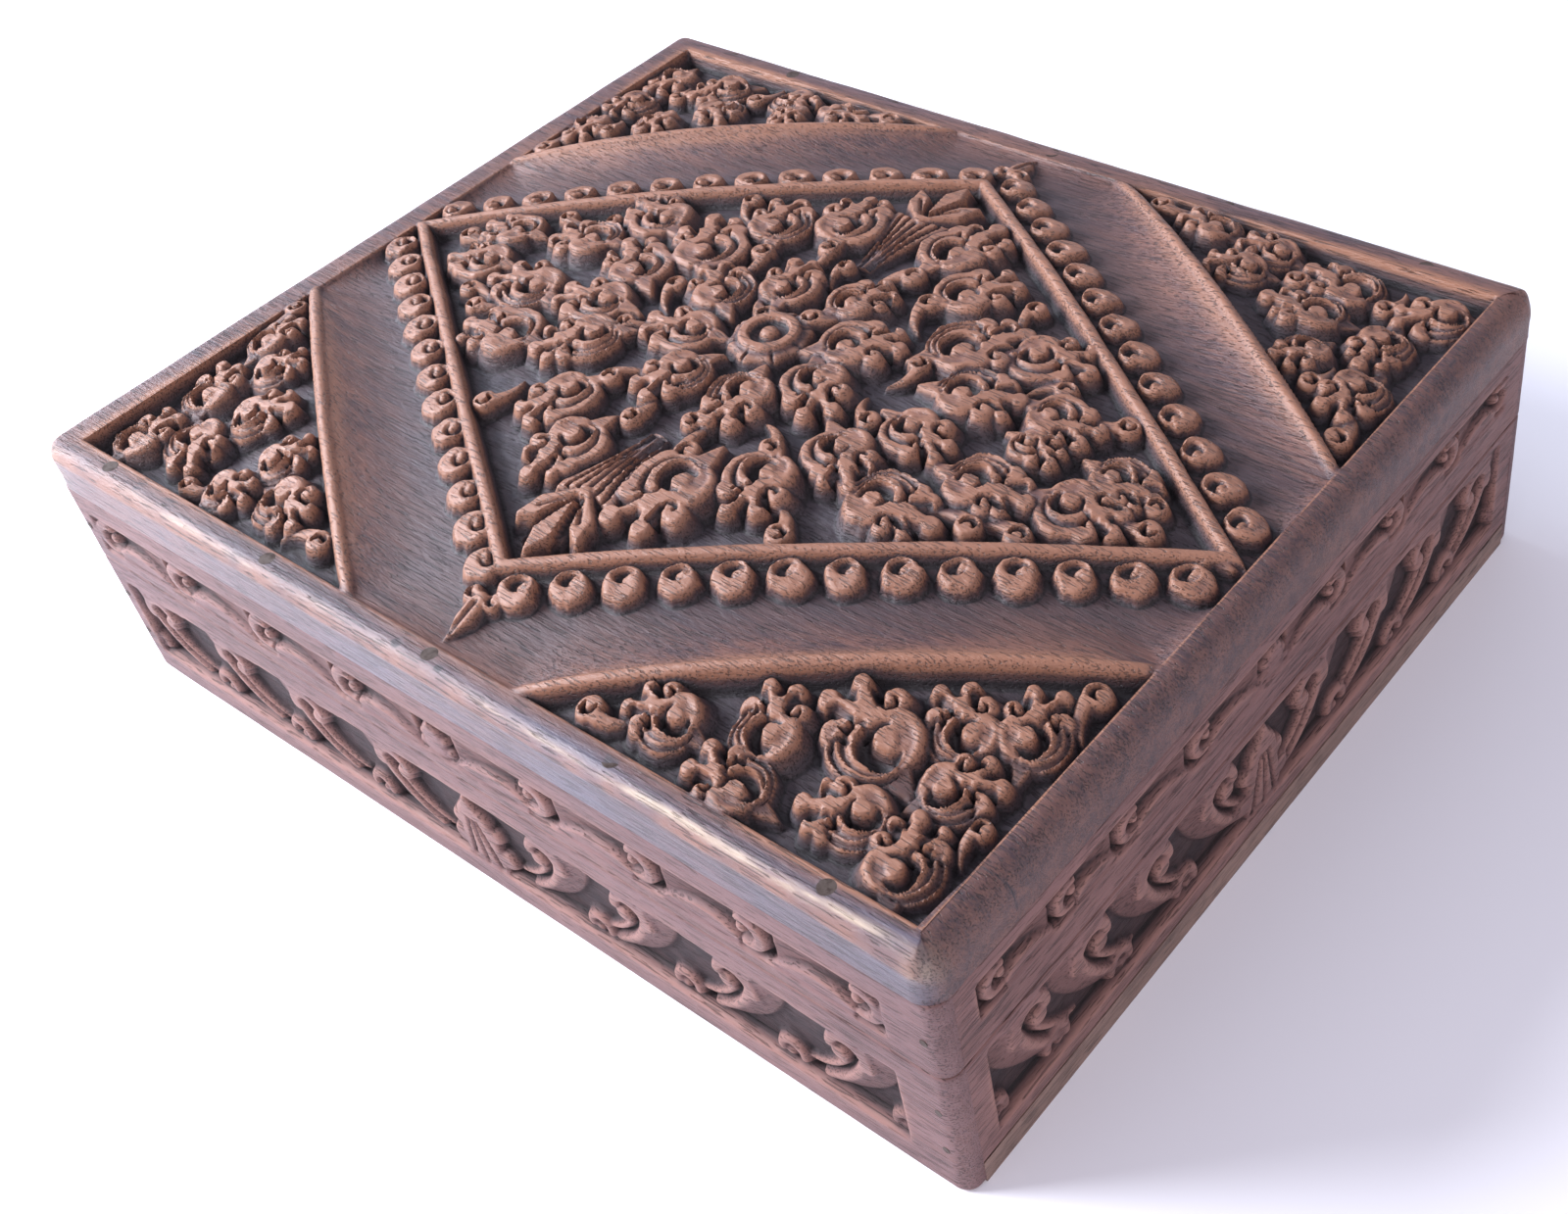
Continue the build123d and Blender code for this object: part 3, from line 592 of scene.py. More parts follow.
# Each frieze, by its body and whether its wall is long: low and high levels, middle, places of its motifs
FRIEZES = {
    ("base", True): ((7.5, 29.7), -1.1, (-112.3, -85.0, -57.5, -28.6, 26.0, 50.0, 77.0, 104.5)),
    ("base", False): ((10.3, 33.9), -4.5, (-85.0, -66.5, -46.5, -24.5, 17.4, 41.3, 64.2, 86.9)),
    ("lid", True): ((40.0, 50.5), -2.4, (-113.8, -86.5, -56.9, -28.8, 26.3, 54.4, 81.2, 107.5)),
    ("lid", False): ((43.7, 52.7), -0.6, (-87.0, -67.0, -48.4, -25.2, 21.1, 44.2, 67.3, 89.5)),
}
LONG_SPAN = (-118.0, 112.0)
SHORT_SPAN = (-92.5, 91.5)
FRIEZE_SLOPE = 3.2


def wave_motif(p, h, reach):
    """A comma curl, and a long low hill that runs from it to the next one."""
    u, v = p.u, p.v
    t = unit((u - 0.30 * h) / (reach - 0.45 * h))
    crest = h * (0.05 + 0.42 * np.sin(np.pi * t**0.9) ** 0.75)
    within = np.maximum(0.2 * h - u, u - reach + 0.05 * h)
    p.stand(-0.12, np.maximum(v - crest, within), 0.5, 2.6)
    # Behind the crest the ground slopes up to the far end of the hill
    slope = -1.0 - 1.5 * (1 - t) + 0.12 * noise(u * 0.4, v, 1.1, 91)
    p.raise_to(np.where(within < -0.2 * h, slope, FAR_BELOW))
    gap, t = p.bow(0.32 * h, 0.50 * h, 0.33 * h, 62, 285)
    wide = 0.085 * h + 0.065 * h * np.sin(np.pi * t)
    p.cut(groove(np.maximum(gap - wide, 0), 0.10 * h, 1.6) * (gap > wide) * (u < 0.5 * h))
    p.stand(-0.05, gap - wide, 0.9, 2.8)
    p.stand(-0.25, p.disc(0.44 * h, 0.52 * h, 0.13 * h), 0.9, 2.4)


def hook_motif(p, h):
    """A hooked leaf: a blade behind its stem, a hook round a ball, a second rib and a foot curl."""
    # The upper margin comes down as a soft shelf between two leaves
    shelf = p.taper((-0.80 * h, 1.14 * h), (-0.56 * h, 1.08 * h), 0.24 * h, 0.16 * h)
    p.stand(-0.10, shelf, 0.09 * h, 0.50)
    # Blade and stem, both bent round one point
    cu = cv = 1.05 * h
    r = np.hypot(p.u - cu, p.v - cv)
    turn = np.degrees(np.arctan2(p.v - cv, p.u - cu)) % 360
    t = unit((turn - 178) / 62)
    wide = h * (0.36 - 0.31 * t)
    over = (r - 1.10 * h) / wide
    ends = h * np.maximum(178 - turn, turn - 243) / 50
    blade = np.maximum(np.abs(r - 1.10 * h - 0.5 * wide) - 0.5 * wide, ends)
    p.stand(-0.25 - 1.35 * unit(over) ** 0.8 - 0.7 * t, blade, 0.35, 3.0)
    for radius, half, first, last, drop in ((1.06, 0.060, 180, 243, 0.0), (0.92, 0.036, 210, 252, 0.55)):
        gap, t = p.bow(cu, cv, radius * h, first, last)
        p.stand(-0.08 - drop - 0.9 * t**2, gap - half * h * (1 - 0.35 * t), 0.8, 2.2)
    # Hook and the ball in its eye
    gap, t = p.bow(0.19 * h, 0.75 * h, 0.20 * h, 5, 190)
    p.stand(-0.05, gap - h * (0.055 + 0.03 * t), 0.8, 2.4)
    p.stand(-0.12, p.disc(0.30 * h, 0.68 * h, 0.092 * h), 1.1, 2.4)
    # Foot curl on the lower edge
    gap, t = p.bow(-0.30 * h, 0.12 * h, 0.125 * h, -15, 190)
    p.stand(-0.75, gap - 0.05 * h, 0.8, 2.2)
    p.stand(-0.9, p.disc(-0.27 * h, 0.08 * h, 0.055 * h), 0.8, 2.2)


def upright_leaf(p, h, wide, veins):
    """The upright leaf in the middle of a frieze, with its side lobes and veins."""
    lobes = [p.disc(side * 0.52 * wide, 0.20 * h, 0.20 * wide) for side in (-1, 1)]
    lobes += [p.disc(side * 0.40 * wide, 0.50 * h, 0.16 * wide) for side in (-1, 1)]
    body = least(p.taper((0, 0.12 * h), (0, 0.60 * h), 0.50 * wide, 0.38 * wide),
                 p.taper((0, 0.60 * h), (0, 0.92 * h), 0.38 * wide, 0.08 * wide), *lobes)
    p.stand(-0.1 - 0.06 * np.abs(p.u), body, 1.2, 2.4)
    for side in veins:
        line = p.taper((side * 0.30 * wide, 0.02 * h), (side * 0.10 * wide, 0.62 * h), 0.2, 0.0)
        p.groove(np.maximum(line, 0), 0.5, 1.0)


def carve_frieze(s, z, body, long_wall, seed):
    """Depth of a wall's outer face, 0 on the plain margins and negative in the sunk frieze."""
    (low, high), centre, tips = FRIEZES[body, long_wall]
    hooked = body == "base"
    h = high - low
    inside = within_frame(s, z, LONG_SPAN if long_wall else SHORT_SPAN, (low, high))
    slant = 0.5 * unit((z - low) / h) * (0.6 if hooked else 1.0)
    ground = -FRIEZE_DEPTH + 0.15 * noise(s, z, 2.6, seed) + slant
    relief = Relief(s, z, np.zeros_like(s), ground)
    for tip in tips:
        flip = 1 if tip < centre else -1
        reach = min(abs(t - tip) for t in (*tips, centre) if (t - tip) * flip > 1)
        p = Patch(relief, tip if hooked else tip - flip * 0.3 * h, low, reach + 2 * h)
        p.u = flip * p.u
        if hooked:
            hook_motif(p, h)
        else:
            wave_motif(p, h, reach)
    p = Patch(relief, centre, low, 2 * h)
    upright_leaf(p, h, 13.5 if hooked else 7.5, (-1, 0, 1) if hooked else ())
    z_face = np.where(inside > 0, relief.z, 0.0)
    z_face = np.minimum(np.maximum(z_face, -FRIEZE_SLOPE * np.clip(inside, 0, 9)), 0.0)
    # Bottom ledge, left with a tool line
    ledge = np.where((z - low < 1.8) & (inside > 0), groove(np.abs(z - low - 0.9), 0.35, 0.35), 0)
    return np.minimum(blur(z_face - ledge, 0.45), 0)


# Meshes


def new_object(name, points, quads, polygons, body, material, attributes):
    """A piece from arrays: points in millimetres, and the indices of its quads and larger polygons."""
    mesh = bpy.data.meshes.new(name)
    faces = quads.tolist() + [polygon.tolist() for polygon in polygons]
    mesh.from_pydata(np.asarray(points, dtype=np.float32) * MM, [], faces)
    mesh.validate()
    for label, values in attributes.items():
        layer = mesh.attributes.new(label, "FLOAT", "POINT")
        layer.data.foreach_set("value", np.asarray(values, dtype=np.float32))
    mesh.shade_smooth()
    mesh.set_sharp_from_angle(angle=math.radians(60))
    mesh.materials.append(material)
    obj = bpy.data.objects.new(name, mesh)
    bpy.context.scene.collection.objects.link(obj)
    nodes = [name.removeprefix("carved_")]
    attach(obj, body)
    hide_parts(*nodes)


def surface_marks(z):
    """(cavity, exposed) of a grid of heights, each from 0 to about 1."""
    fine = blur(z, 2.0) - z
    broad = blur(z, 6.0) - z
    proud = z - blur(z, 18.0)
    cavity = unit(0.9 * fine / 0.6 + 0.35 * broad / 1.2)
    exposed = unit(-fine / 0.8 + 0.70 * unit(proud / 1.5))
    return cavity, exposed


# Lid board

ARRIS_STEPS = 8
SIDE_STEPS = 8
# Stains on the border: x, y, size
NAIL_STAINS = (
    (-102.5, -98.3, 2.4), (-80.6, -98.3, 2.3), (-46.9, -98.3, 2.4), (3.1, -98.3, 2.4), (51.9, -98.3, 2.3),
    (101.3, -98.3, 2.4), (-91, -99, 1.5), (-4.8, -99.5, 1.8), (7.5, -100, 1.4), (122.3, 71.5, 2.2),
)
# Spans of the front arris where the wood is rubbed pale: first and last x, and how strongly
RUBBED_SPANS = ((-92, -44, 0.50), (-30, -4, 0.25), (20, 58, 0.55), (52, 118, 0.85))
# Where the crack in the right border starts
CRACK_START = (119.5, -81.6)


def unevenness(x, y):
    """Slow waves of the board's old surface, in millimetres."""
    return 0.10 * noise(x, y, 26.0, 51, 3)


def front_corner(x, y, side, spread):
    """1 at the board's front corner on that side, and a bell that fades away from it."""
    return np.exp(-((x - side * HALF_X) ** 2 + (y + HALF_Y) ** 2) / spread)


def board_outline(x, y):
    """The board's rounded outline beside points of the grid's edge, and the way out there."""
    ox = ((x - GRID_X[0]) / (GRID_X[1] - GRID_X[0]) * 2 - 1) * HALF_X
    oy = ((y - GRID_Y[0]) / (GRID_Y[1] - GRID_Y[0]) * 2 - 1) * HALF_Y
    r = CORNER_RADIUS + 1.5 * (oy < 0)
    cx = np.clip(ox, -HALF_X + r, HALF_X - r)
    cy = np.clip(oy, -HALF_Y + r, HALF_Y - r)
    length = np.hypot(ox - cx, oy - cy)
    nx, ny = (ox - cx) / length, (oy - cy) / length
    return cx + r * nx, cy + r * ny, nx, ny


def edge_radius(x, y, nx, ny):
    """Rounding of the board's upper edge: a crisp front, a wide bullnose on the right, worn corners."""
    radius = 3.1 + 2.5 * smooth(nx, 0.3, 0.95) - 0.2 * smooth(-ny, 0.3, 0.95)
    radius += 1.6 * front_corner(x, y, 1, 300.0)
    return radius * (1 + 0.10 * noise(x, y, 14.0, 61, 3))


def rubbed_marks(px, py, pz, ny):
    """How far the wood is rubbed pale, from 0 to 1: in streaks along the front arris and at its ends."""
    below = BORDER_TOP - pz
    width = 0.30 + 0.30 * smooth(px, 30, 100)
    line = np.exp(-((below - 0.75 - 0.25 * noise(px, 0 * px, 18.0, 81)) / width) ** 2)
    line = line * smooth(below, 0.08, 0.35)
    share = np.zeros_like(px)
    for first, last, strength in RUBBED_SPANS:
        span = smooth(px, first - 8, first + 8) * (1 - smooth(px, last - 8, last + 8))
        share = np.maximum(share, strength * span)
    ragged = smooth(noise(px * 0.22, 2.2 * (pz + py), 2.0, 82, 3), -0.45, 0.30)
    near_arris = (-ny > 0.6) & (np.hypot(HALF_Y + py, below) < 9)
    corner = 0.75 * front_corner(px, py, 1, 16.0) * smooth(pz, 61, 65)
    corners = np.maximum(corner, 0.5 * front_corner(px, py, -1, 30.0)) * (below > 0.3)
    corners = corners * (0.7 + 0.6 * noise(px + py, pz, 2.5, 84))
    return unit(np.where(near_arris, line * share * ragged, 0) + corners)


def polish_and_sheen_share(px, py, nx, ny):
    """How far the border has painted grey-blue sheen and smoother wax, from 0 to 1."""
    front = 0.65 * smooth(-ny, 0.2, 0.9) * (0.35 + 0.65 * smooth(px, -60, 0))
    share = 0.35 + front - 0.28 * smooth(nx, 0.2, 0.9)
    return unit(share * (0.75 + 0.5 * noise(px, py, 40.0, 83, 3)))


def nail_marks(px, py, pz):
    """Dark stains round the nails, old nail holes and a crack in the border, from 0 to 1."""
    share = np.zeros_like(px)
    for x, y, size in NAIL_STAINS:
        share = np.maximum(share, 0.8 * (1 - smooth(np.hypot(px - x, py - y), 0.6 * size, size)))
    share = np.where(pz > BORDER_TOP - 0.5, share, 0)
    x, y = CRACK_START
    line = py - y - 0.22 * np.minimum(px - x, 5.0) - 0.35 * noise(px + pz, 0 * pz, 4.0, 85)
    return np.maximum(share, np.exp(-((line / 0.30) ** 2)) * (px > x - 1) * (pz > 59.5))


def board_rings(ex, ey, ox, oy, nx, ny):
    """(x, y, z, how worn) of each ring of points, from the grid's edge out and down to the underside."""
    radius = edge_radius(ox, oy, nx, ny)
    for share in (0.5, 1.0):
        px = ex + (ox - nx * radius - ex) * share
        py = ey + (oy - ny * radius - ey) * share
        yield px, py, BORDER_TOP + unevenness(px, py), 0.0
    front = smooth(-ny, 0.5, 1.0)
    for step in range(1, ARRIS_STEPS + 1):
        share = step / ARRIS_STEPS
        angle = share * math.pi / 2
        inset = radius * (1 - math.sin(angle)) + front * 0.35 * math.sin(2 * angle)
        px, py = ox - nx * inset, oy - ny * inset
        pz = BORDER_TOP - radius * (1 - math.cos(angle)) + unevenness(px, py) * (1 - share)
        yield px, py, pz, 0.5 * math.sin(angle) + 0.2
    for share in np.linspace(0, 1, SIDE_STEPS + 1)[1:]:
        pz = (BORDER_TOP - radius) * (1 - share) + BOARD_UNDER * share
        dent = 0.07 * (1 + noise(ox + oy, pz * 3, 12.0, 63, 3)) * math.sin(math.pi * share)
        yield ox - nx * dent, oy - ny * dent, pz, 0.2 * (1 - share)
    yield ox - nx * 0.25, oy - ny * 0.25, np.full_like(ox, BOARD_UNDER), 0.0


def make_lid_board():
    """The carved board: its top as a grid, then rings out over the border and down the sides."""
    xs, ys = [np.linspace(low, high, round((high - low) / LID_CELL) + 1) for low, high in (GRID_X, GRID_Y)]
    x, y = np.meshgrid(xs, ys, indexing="ij")
    z, depth = carve_lid(x, y)
    cavity, exposed = surface_marks(z)
    z = np.minimum(z + unevenness(x, y) + 0.02 * noise(x * 0.2, y, 1.6, 52), TOP_LEVEL + 0.04)
    index = np.arange(x.size).reshape(x.shape)
    quads = [np.stack([index[:-1, :-1], index[1:, :-1], index[1:, 1:], index[:-1, 1:]], -1).reshape(-1, 4)]
    points = [np.stack([x.ravel(), y.ravel(), z.ravel()], -1)]
    plain = np.zeros(x.size)
    marks = {"cavity": [cavity.ravel()], "exposed": [exposed.ravel()], "depth": [depth.ravel()],
             "polish_and_sheen": [plain], "rubbed": [plain]}

    edge = np.concatenate([index[:-1, 0], index[-1, :-1], index[:0:-1, -1], index[0, :0:-1]])
    ex, ey = x.ravel()[edge], y.ravel()[edge]
    ox, oy, nx, ny = board_outline(ex, ey)
    wear = (1 - 0.85 * smooth(nx, 0.3, 0.95)) * (0.75 + 0.5 * noise(ox, oy, 9.0, 64, 3))
    previous = edge
    for number, (px, py, pz, worn) in enumerate(board_rings(ex, ey, ox, oy, nx, ny)):
        ring = x.size + number * len(edge) + np.arange(len(edge))
        points.append(np.stack([px, py, pz], -1))
        marks["cavity"].append(nail_marks(px, py, pz))
        # The border's polish and painted sheen, weaker on the ring next to the carving
        marks["polish_and_sheen"].append(polish_and_sheen_share(px, py, nx, ny) * (0.3 if number == 0 else 1.0))
        marks["rubbed"].append(rubbed_marks(px, py, pz, ny))
        marks["exposed"].append(worn * wear)
        marks["depth"].append(np.zeros(len(edge)))
        quads.append(np.stack([np.roll(previous, -1), previous, ring, np.roll(ring, -1)], -1))
        previous = ring
    attributes = {label: np.concatenate(values) for label, values in marks.items()}
    new_object("carved_lid_board", np.concatenate(points), np.concatenate(quads), [previous[::-1]], "lid",
               LID_WOOD, attributes)


# Walls

SIDE_TURNS = {"front": 0, "right": 90, "back": 180, "left": 270}
CORNER_STATIONS = 8
EDGE_ROWS = 3
UPPER_ROUNDING = 0.6
LOWER_ROUNDING = 0.55
FOOT_ROUNDING = 1.3


def wall_stations(long_wall, seats):
    """(stations as s, q and the way out, how many are on the outer face). s runs along the face to the
    right, q outwards from the middle of the box."""
    half = HALF_X if long_wall else LIP_Y
    face_q = HALF_Y if long_wall else HALF_X
    r = CORNER_RADIUS
    face_end = half - (r if long_wall else 0)
    face = [(s, face_q, 0, 1) for s in np.linspace(-face_end, face_end, int(2 * face_end / WALL_CELL))]
    edges = [at + offset for at in seats for offset in SEAT_EDGES]
    face = sorted(face + [(s, face_q, 0, 1) for s in edges], key=lambda station: station[0])
    if not long_wall:
        inner = [(half, HALF_X - WALL, 0, 0), (-half, HALF_X - WALL, 0, 0)]
        return np.array(face + inner, dtype=float), len(face)
    left = [(-half + r - r * math.cos(t), face_q - r + r * math.sin(t), -math.cos(t), math.sin(t))
            for t in np.radians(np.linspace(0, 84, CORNER_STATIONS))]
    right = [(-s, q, -ns, nq) for s, q, ns, nq in left[::-1]]
    outer = [(-half, LIP_Y, -1, 0)] + left + face + right + [(half, LIP_Y, 1, 0)]
    # The inner face, rabbeted at its ends over the short walls
    step_s, inner_q = HALF_X - WALL, HALF_Y - WALL
    inner = [(step_s, LIP_Y, 0, 0), (step_s, inner_q, 0, 0)]
    inner += [(s, inner_q, 0, 0) for s in edges[::-1]]
    inner += [(-step_s, inner_q, 0, 0), (-step_s, LIP_Y, 0, 0)]
    return np.array(outer + inner, dtype=float), len(outer)


def wall_rows(low, high):
    """(levels, how far each is drawn in). Rows stand closer together in the rounded edges."""
    round_low, round_high = FOOT_ROUNDING if low < 1 else LOWER_ROUNDING, UPPER_ROUNDING
    rows = int((high - low - round_low - round_high) / WALL_CELL)
    turns = np.linspace(0, 1, EDGE_ROWS + 1)[:-1] * math.pi / 2
    z = np.concatenate([low + round_low * (1 - np.cos(turns)),
                        np.linspace(low + round_low, high - round_high, rows),
                        high - round_high * (1 - np.cos(turns[::-1]))])
    near_low = unit((low + round_low - z) / round_low)
    near_high = unit((z - high + round_high) / round_high)
    return z, round_low * (1 - np.sqrt(1 - near_low**2)) + round_high * (1 - np.sqrt(1 - near_high**2))


def sample(field, i, j):
    """Values of a grid at places between its cells."""
    i = np.clip(i, 0, field.shape[0] - 1.001)
    j = np.clip(j, 0, field.shape[1] - 1.001)
    a, b = i.astype(int), j.astype(int)
    f, g = i - a, j - b
    return ((field[a, b] * (1 - g) + field[a, b + 1] * g) * (1 - f)
            + (field[a + 1, b] * (1 - g) + field[a + 1, b + 1] * g) * f)


def wall_piece(name, body, side, low, high, seed):
    """One wall: stations along its plan outline, each with a column of points."""
    long_wall = side in ("front", "back")
    seats = SEAT_PLACES if side == "back" else ()
    stations, outer_count = wall_stations(long_wall, seats)
    s, q, ns, nq = stations.T
    z, rounding = wall_rows(low, high)

    # The face is carved as a grid of its own, and the stations take their depths and marks from it
    half = HALF_X if long_wall else LIP_Y
    spans = [np.arange(first, last + WALL_CELL, WALL_CELL) for first, last in ((-half, half), (low, high))]
    carved = carve_frieze(*np.meshgrid(*spans, indexing="ij"), body, long_wall, seed)
    cavity, exposed = surface_marks(carved)
    face_s, face_z = np.meshgrid(s[:outer_count], z, indexing="ij")
    flat = (nq[:outer_count] > 0.999)[:, None]

    def on_face(field):
        values = sample(field, (face_s + half) / WALL_CELL, (face_z - low) / WALL_CELL)
        return np.where(flat, values, 0)

    slow = -0.09 * (1 + noise(face_s, face_z, 22.0, seed + 5, 3))
    streaks = 0.015 * (1 + noise(face_s * 0.15, face_z, 1.3, seed + 6))
    push = np.zeros((len(s), len(z)))
    push[:outer_count] = on_face(carved) + (slow - streaks) - rounding[None, :]
    along = s[:, None] + ns[:, None] * push
    out = q[:, None] + nq[:, None] * push
    height = np.broadcast_to(z, along.shape).copy()
    for at in seats:
        inside = np.abs(s - at) < SEAT_HALF
        if body == "base":
            height[inside] -= SEAT_DEPTH * unit((z - (high - SEAT_FADE)) / SEAT_FADE)
        else:
            height[inside] += SEAT_DEPTH * unit((low + SEAT_FADE - z) / SEAT_FADE)
    # The wall's own frame has q along -Y for the front; turn it into place
    angle = math.radians(SIDE_TURNS[side])
    px = along * math.cos(angle) + out * math.sin(angle)
    py = along * math.sin(angle) - out * math.cos(angle)
    points = np.stack([px.ravel(), py.ravel(), height.ravel()], -1)
    index = np.arange(push.size).reshape(push.shape)
    after = np.roll(index, -1, axis=0)
    quads = np.stack([index[:, :-1], after[:, :-1], after[:, 1:], index[:, 1:]], -1).reshape(-1, 4)

    marks = {label: np.zeros(push.shape) for label in ("cavity", "exposed", "depth")}
    edge_wear = unit(rounding / 0.5)[None, :]
    marks["cavity"][:outer_count] = on_face(cavity)
    marks["exposed"][:outer_count] = np.maximum(on_face(exposed), 0.6 * edge_wear)
    marks["depth"][:outer_count] = on_face(-carved / FRIEZE_DEPTH)
    # Painted blue-grey sheen on the walls, more on the long ones, and smoother wax
    marks["polish_and_sheen"] = np.full(push.shape, 0.22 if long_wall else 0.10)
    attributes = {label: values.ravel() for label, values in marks.items()}
    ends = [index[::-1, 0], index[:, -1]]
    new_object(name, points, quads, ends, body, WALL_WOODS[body, long_wall], attributes)


def make_walls():
    """The four walls of the base and the four of the lid's rim."""
    for number, side in enumerate(SIDE_TURNS):
        foot = 0.0 if side in ("front", "back") else SHORT_WALL_FOOT
        wall_piece(f"carved_base_{side}_wall", "base", side, foot, BASE_TOP, 600 + 10 * number)
        wall_piece(f"carved_lid_{side}_rim", "lid", side, LID_FLOOR, BOARD_UNDER, 700 + 10 * number)


# Materials


class Nodes:
    """Short names for building a shader: each call adds a node and returns its output."""

    def __init__(self, name):
        self.material = bpy.data.materials.new(name)
        self.material.use_nodes = True
        self.tree = self.material.node_tree
        self.shader = self.tree.nodes["Principled BSDF"]

    def put(self, socket, value):
        if isinstance(value, bpy.types.NodeSocket):
            self.tree.links.new(value, socket)
        elif socket.type == "RGBA":
            socket.default_value = (*value, 1.0)
        else:
            socket.default_value = value

    def finish(self, colour, roughness, relief=None):
        self.put(self.shader.inputs["Base Color"], colour)
        self.put(self.shader.inputs["Roughness"], roughness)
        if relief is not None:
            self.put(self.shader.inputs["Normal"], relief)
        return self.material

    def add(self, kind, values, output=0, **settings):
        """A node of a kind with values for its sockets, by name or number, and its settings."""
        node = self.tree.nodes.new(kind)
        for name, value in settings.items():
            setattr(node, name, value)
        for socket, value in values.items():
            self.put(node.inputs[socket], value)
        return node.outputs[output]

    def math(self, operation, a, b=0.0, clamp=False):
        return self.add("ShaderNodeMath", {0: a, 1: b}, operation=operation, use_clamp=clamp)

    def times(self, a, b):
        return self.math("MULTIPLY", a, b)

    def mix(self, share, a, b):
        return self.add("ShaderNodeMix", {0: share, 6: a, 7: b}, 2, data_type="RGBA")

    def step(self, *values):
        """A smooth step: value, low and high, then what it gives there where that isn't 0 and 1."""
        return self.add("ShaderNodeMapRange", dict(enumerate(values)), interpolation_type="SMOOTHSTEP")

    def attribute(self, name):
        return self.add("ShaderNodeAttribute", {}, "Fac", attribute_name=name)

    def place(self, scale, turn=0.0):
        """Object coordinates in millimetres, turned about Z and then scaled."""
        place = self.add("ShaderNodeTexCoord", {}, "Object")
        turned = self.add("ShaderNodeMapping", {"Rotation": (0, 0, math.radians(turn)), "Vector": place})
        return self.add("ShaderNodeMapping", {"Scale": [s / MM for s in scale], "Vector": turned})

    def noise(self, vector, detail, roughness, distortion=0.0):
        look = {"Detail": detail, "Roughness": roughness, "Distortion": distortion}
        return self.add("ShaderNodeTexNoise", {"Vector": vector, "Scale": 1.0, **look}, "Fac")

    def bump(self, height, strength, distance_mm, **below):
        values = {"Strength": strength, "Distance": distance_mm * MM, "Height": height, **below}
        return self.add("ShaderNodeBump", values)


RUBBED = (0.50, 0.385, 0.28)
# Blue-grey of the painted sheen: the sky's reflection in the wax, painted on the border and walls
PAINTED_SHEEN = (0.088, 0.094, 0.140)


def shaded(colour, share):
    """A share of a colour, for a darker or lighter one."""
    return tuple(share * c for c in colour)


def make_wood(name, body, dark, light, ground, worn, sheen, turn=0.0, specular=0.5):
    """Open-pored waxed hardwood, its grain along X or, turned by 90 degrees, along Y. ground is the dirt in
    its carving, darkened further as painted shade, and worn its handled edges."""
    n = Nodes(name)

    def grain(along, across, *detail):
        return n.noise(n.place((along, across, across), turn), *detail)

    marks = ("cavity", "exposed", "depth", "polish_and_sheen")
    cavity, exposed, depth, polish_and_sheen = [n.attribute(mark) for mark in marks]
    streak = grain(0.010, 0.35, 4, 0.6, 0.6)
    fine = grain(0.04, 2.2, 3, 0.6, 0.3)
    broad = grain(0.018, 0.022, 2, 0.5)
    mottle = grain(0.16, 0.2, 4, 0.6)
    pore = grain(0.16, 3.0, 1, 0.3)
    line = grain(0.007, 0.42, 2, 0.5, 0.8)
    lines = n.math("SUBTRACT", 1.0, n.step(n.math("ABSOLUTE", n.math("SUBTRACT", line, 0.5)), 0.002, 0.009))
    patch = grain(0.03, 0.12, 2, 0.5)
    pores = n.step(n.math("ADD", pore, n.times(patch, 0.22)), 0.705, 0.760)

    # Streaks of the grain under a painted blue-grey sheen, the sky's reflection in the wax
    colour = n.mix(n.step(streak, 0.36, 0.66), dark, body)
    colour = n.mix(n.step(fine, 0.40, 0.75, 0.0, 0.55), colour, light)
    colour = n.mix(n.step(broad, 0.42, 0.66, 0.0, 0.55), colour, light)
    colour = n.mix(n.step(mottle, 0.48, 0.78, 0.0, 0.55), colour, dark)
    colour = n.mix(n.times(lines, 0.60), colour, shaded(dark, 0.45))
    painted_sheen = n.times(polish_and_sheen, n.step(streak, 0.30, 0.62, 0.35, 0.90))
    colour = n.mix(painted_sheen, colour, PAINTED_SHEEN)
    # Flanks darken with depth, partly unpolished wood and partly painted shade; the ground is dirt and
    # painted shade
    flank = n.step(depth, 0.10, 0.50, 0.0, 0.55)
    colour = n.mix(flank, colour, shaded(dark, 0.80))
    colour = n.mix(n.step(exposed, 0.05, 0.9, 0.0, 0.80), colour, worn)
    dust = n.step(mottle, 0.35, 0.70, 0.80, 1.0)
    # Deep ground and creases take the ground colour: dirt, made darker as painted shade of the recesses
    low = n.times(n.step(depth, 0.50, 0.85, 0.0, 0.97), dust)
    dirt_and_shade = n.math("MAXIMUM", low, n.step(cavity, 0.20, 0.85, 0.0, 0.70))
    colour = n.mix(dirt_and_shade, colour, ground)
    # Near-black creases are painted shade; the border's nail stains and crack darken here too
    colour = n.mix(n.step(cavity, 0.60, 1.0, 0.0, 0.75), colour, shaded(ground, 0.22))
    rubbed = n.attribute("rubbed")
    colour = n.mix(rubbed, colour, RUBBED)
    open_pores = n.times(pores, n.step(rubbed, 0.0, 0.6, 0.55, 0.15))
    colour = n.mix(open_pores, colour, shaded(dark, 0.25))

    rough = n.step(fine, 0.3, 0.75, 0.60 - 0.18 * sheen, 0.74 - 0.18 * sheen)
    rough = n.math("ADD", rough, n.times(n.math("MAXIMUM", dirt_and_shade, flank), 0.20), clamp=True)
    rough = n.math("SUBTRACT", rough, n.times(exposed, 0.06), clamp=True)
    rough = n.math("SUBTRACT", rough, n.times(polish_and_sheen, 0.10), clamp=True)
    relief = n.bump(grain(0.35, 1.3, 5, 0.7), 0.8, 0.35)
    relief = n.bump(fine, 0.6, 0.16, Normal=relief)
    relief = n.bump(n.math("SUBTRACT", 1.0, pores), 1.0, 0.28, Normal=relief)
    n.put(n.shader.inputs["Specular IOR Level"], specular)
    return n.finish(colour, rough, relief)


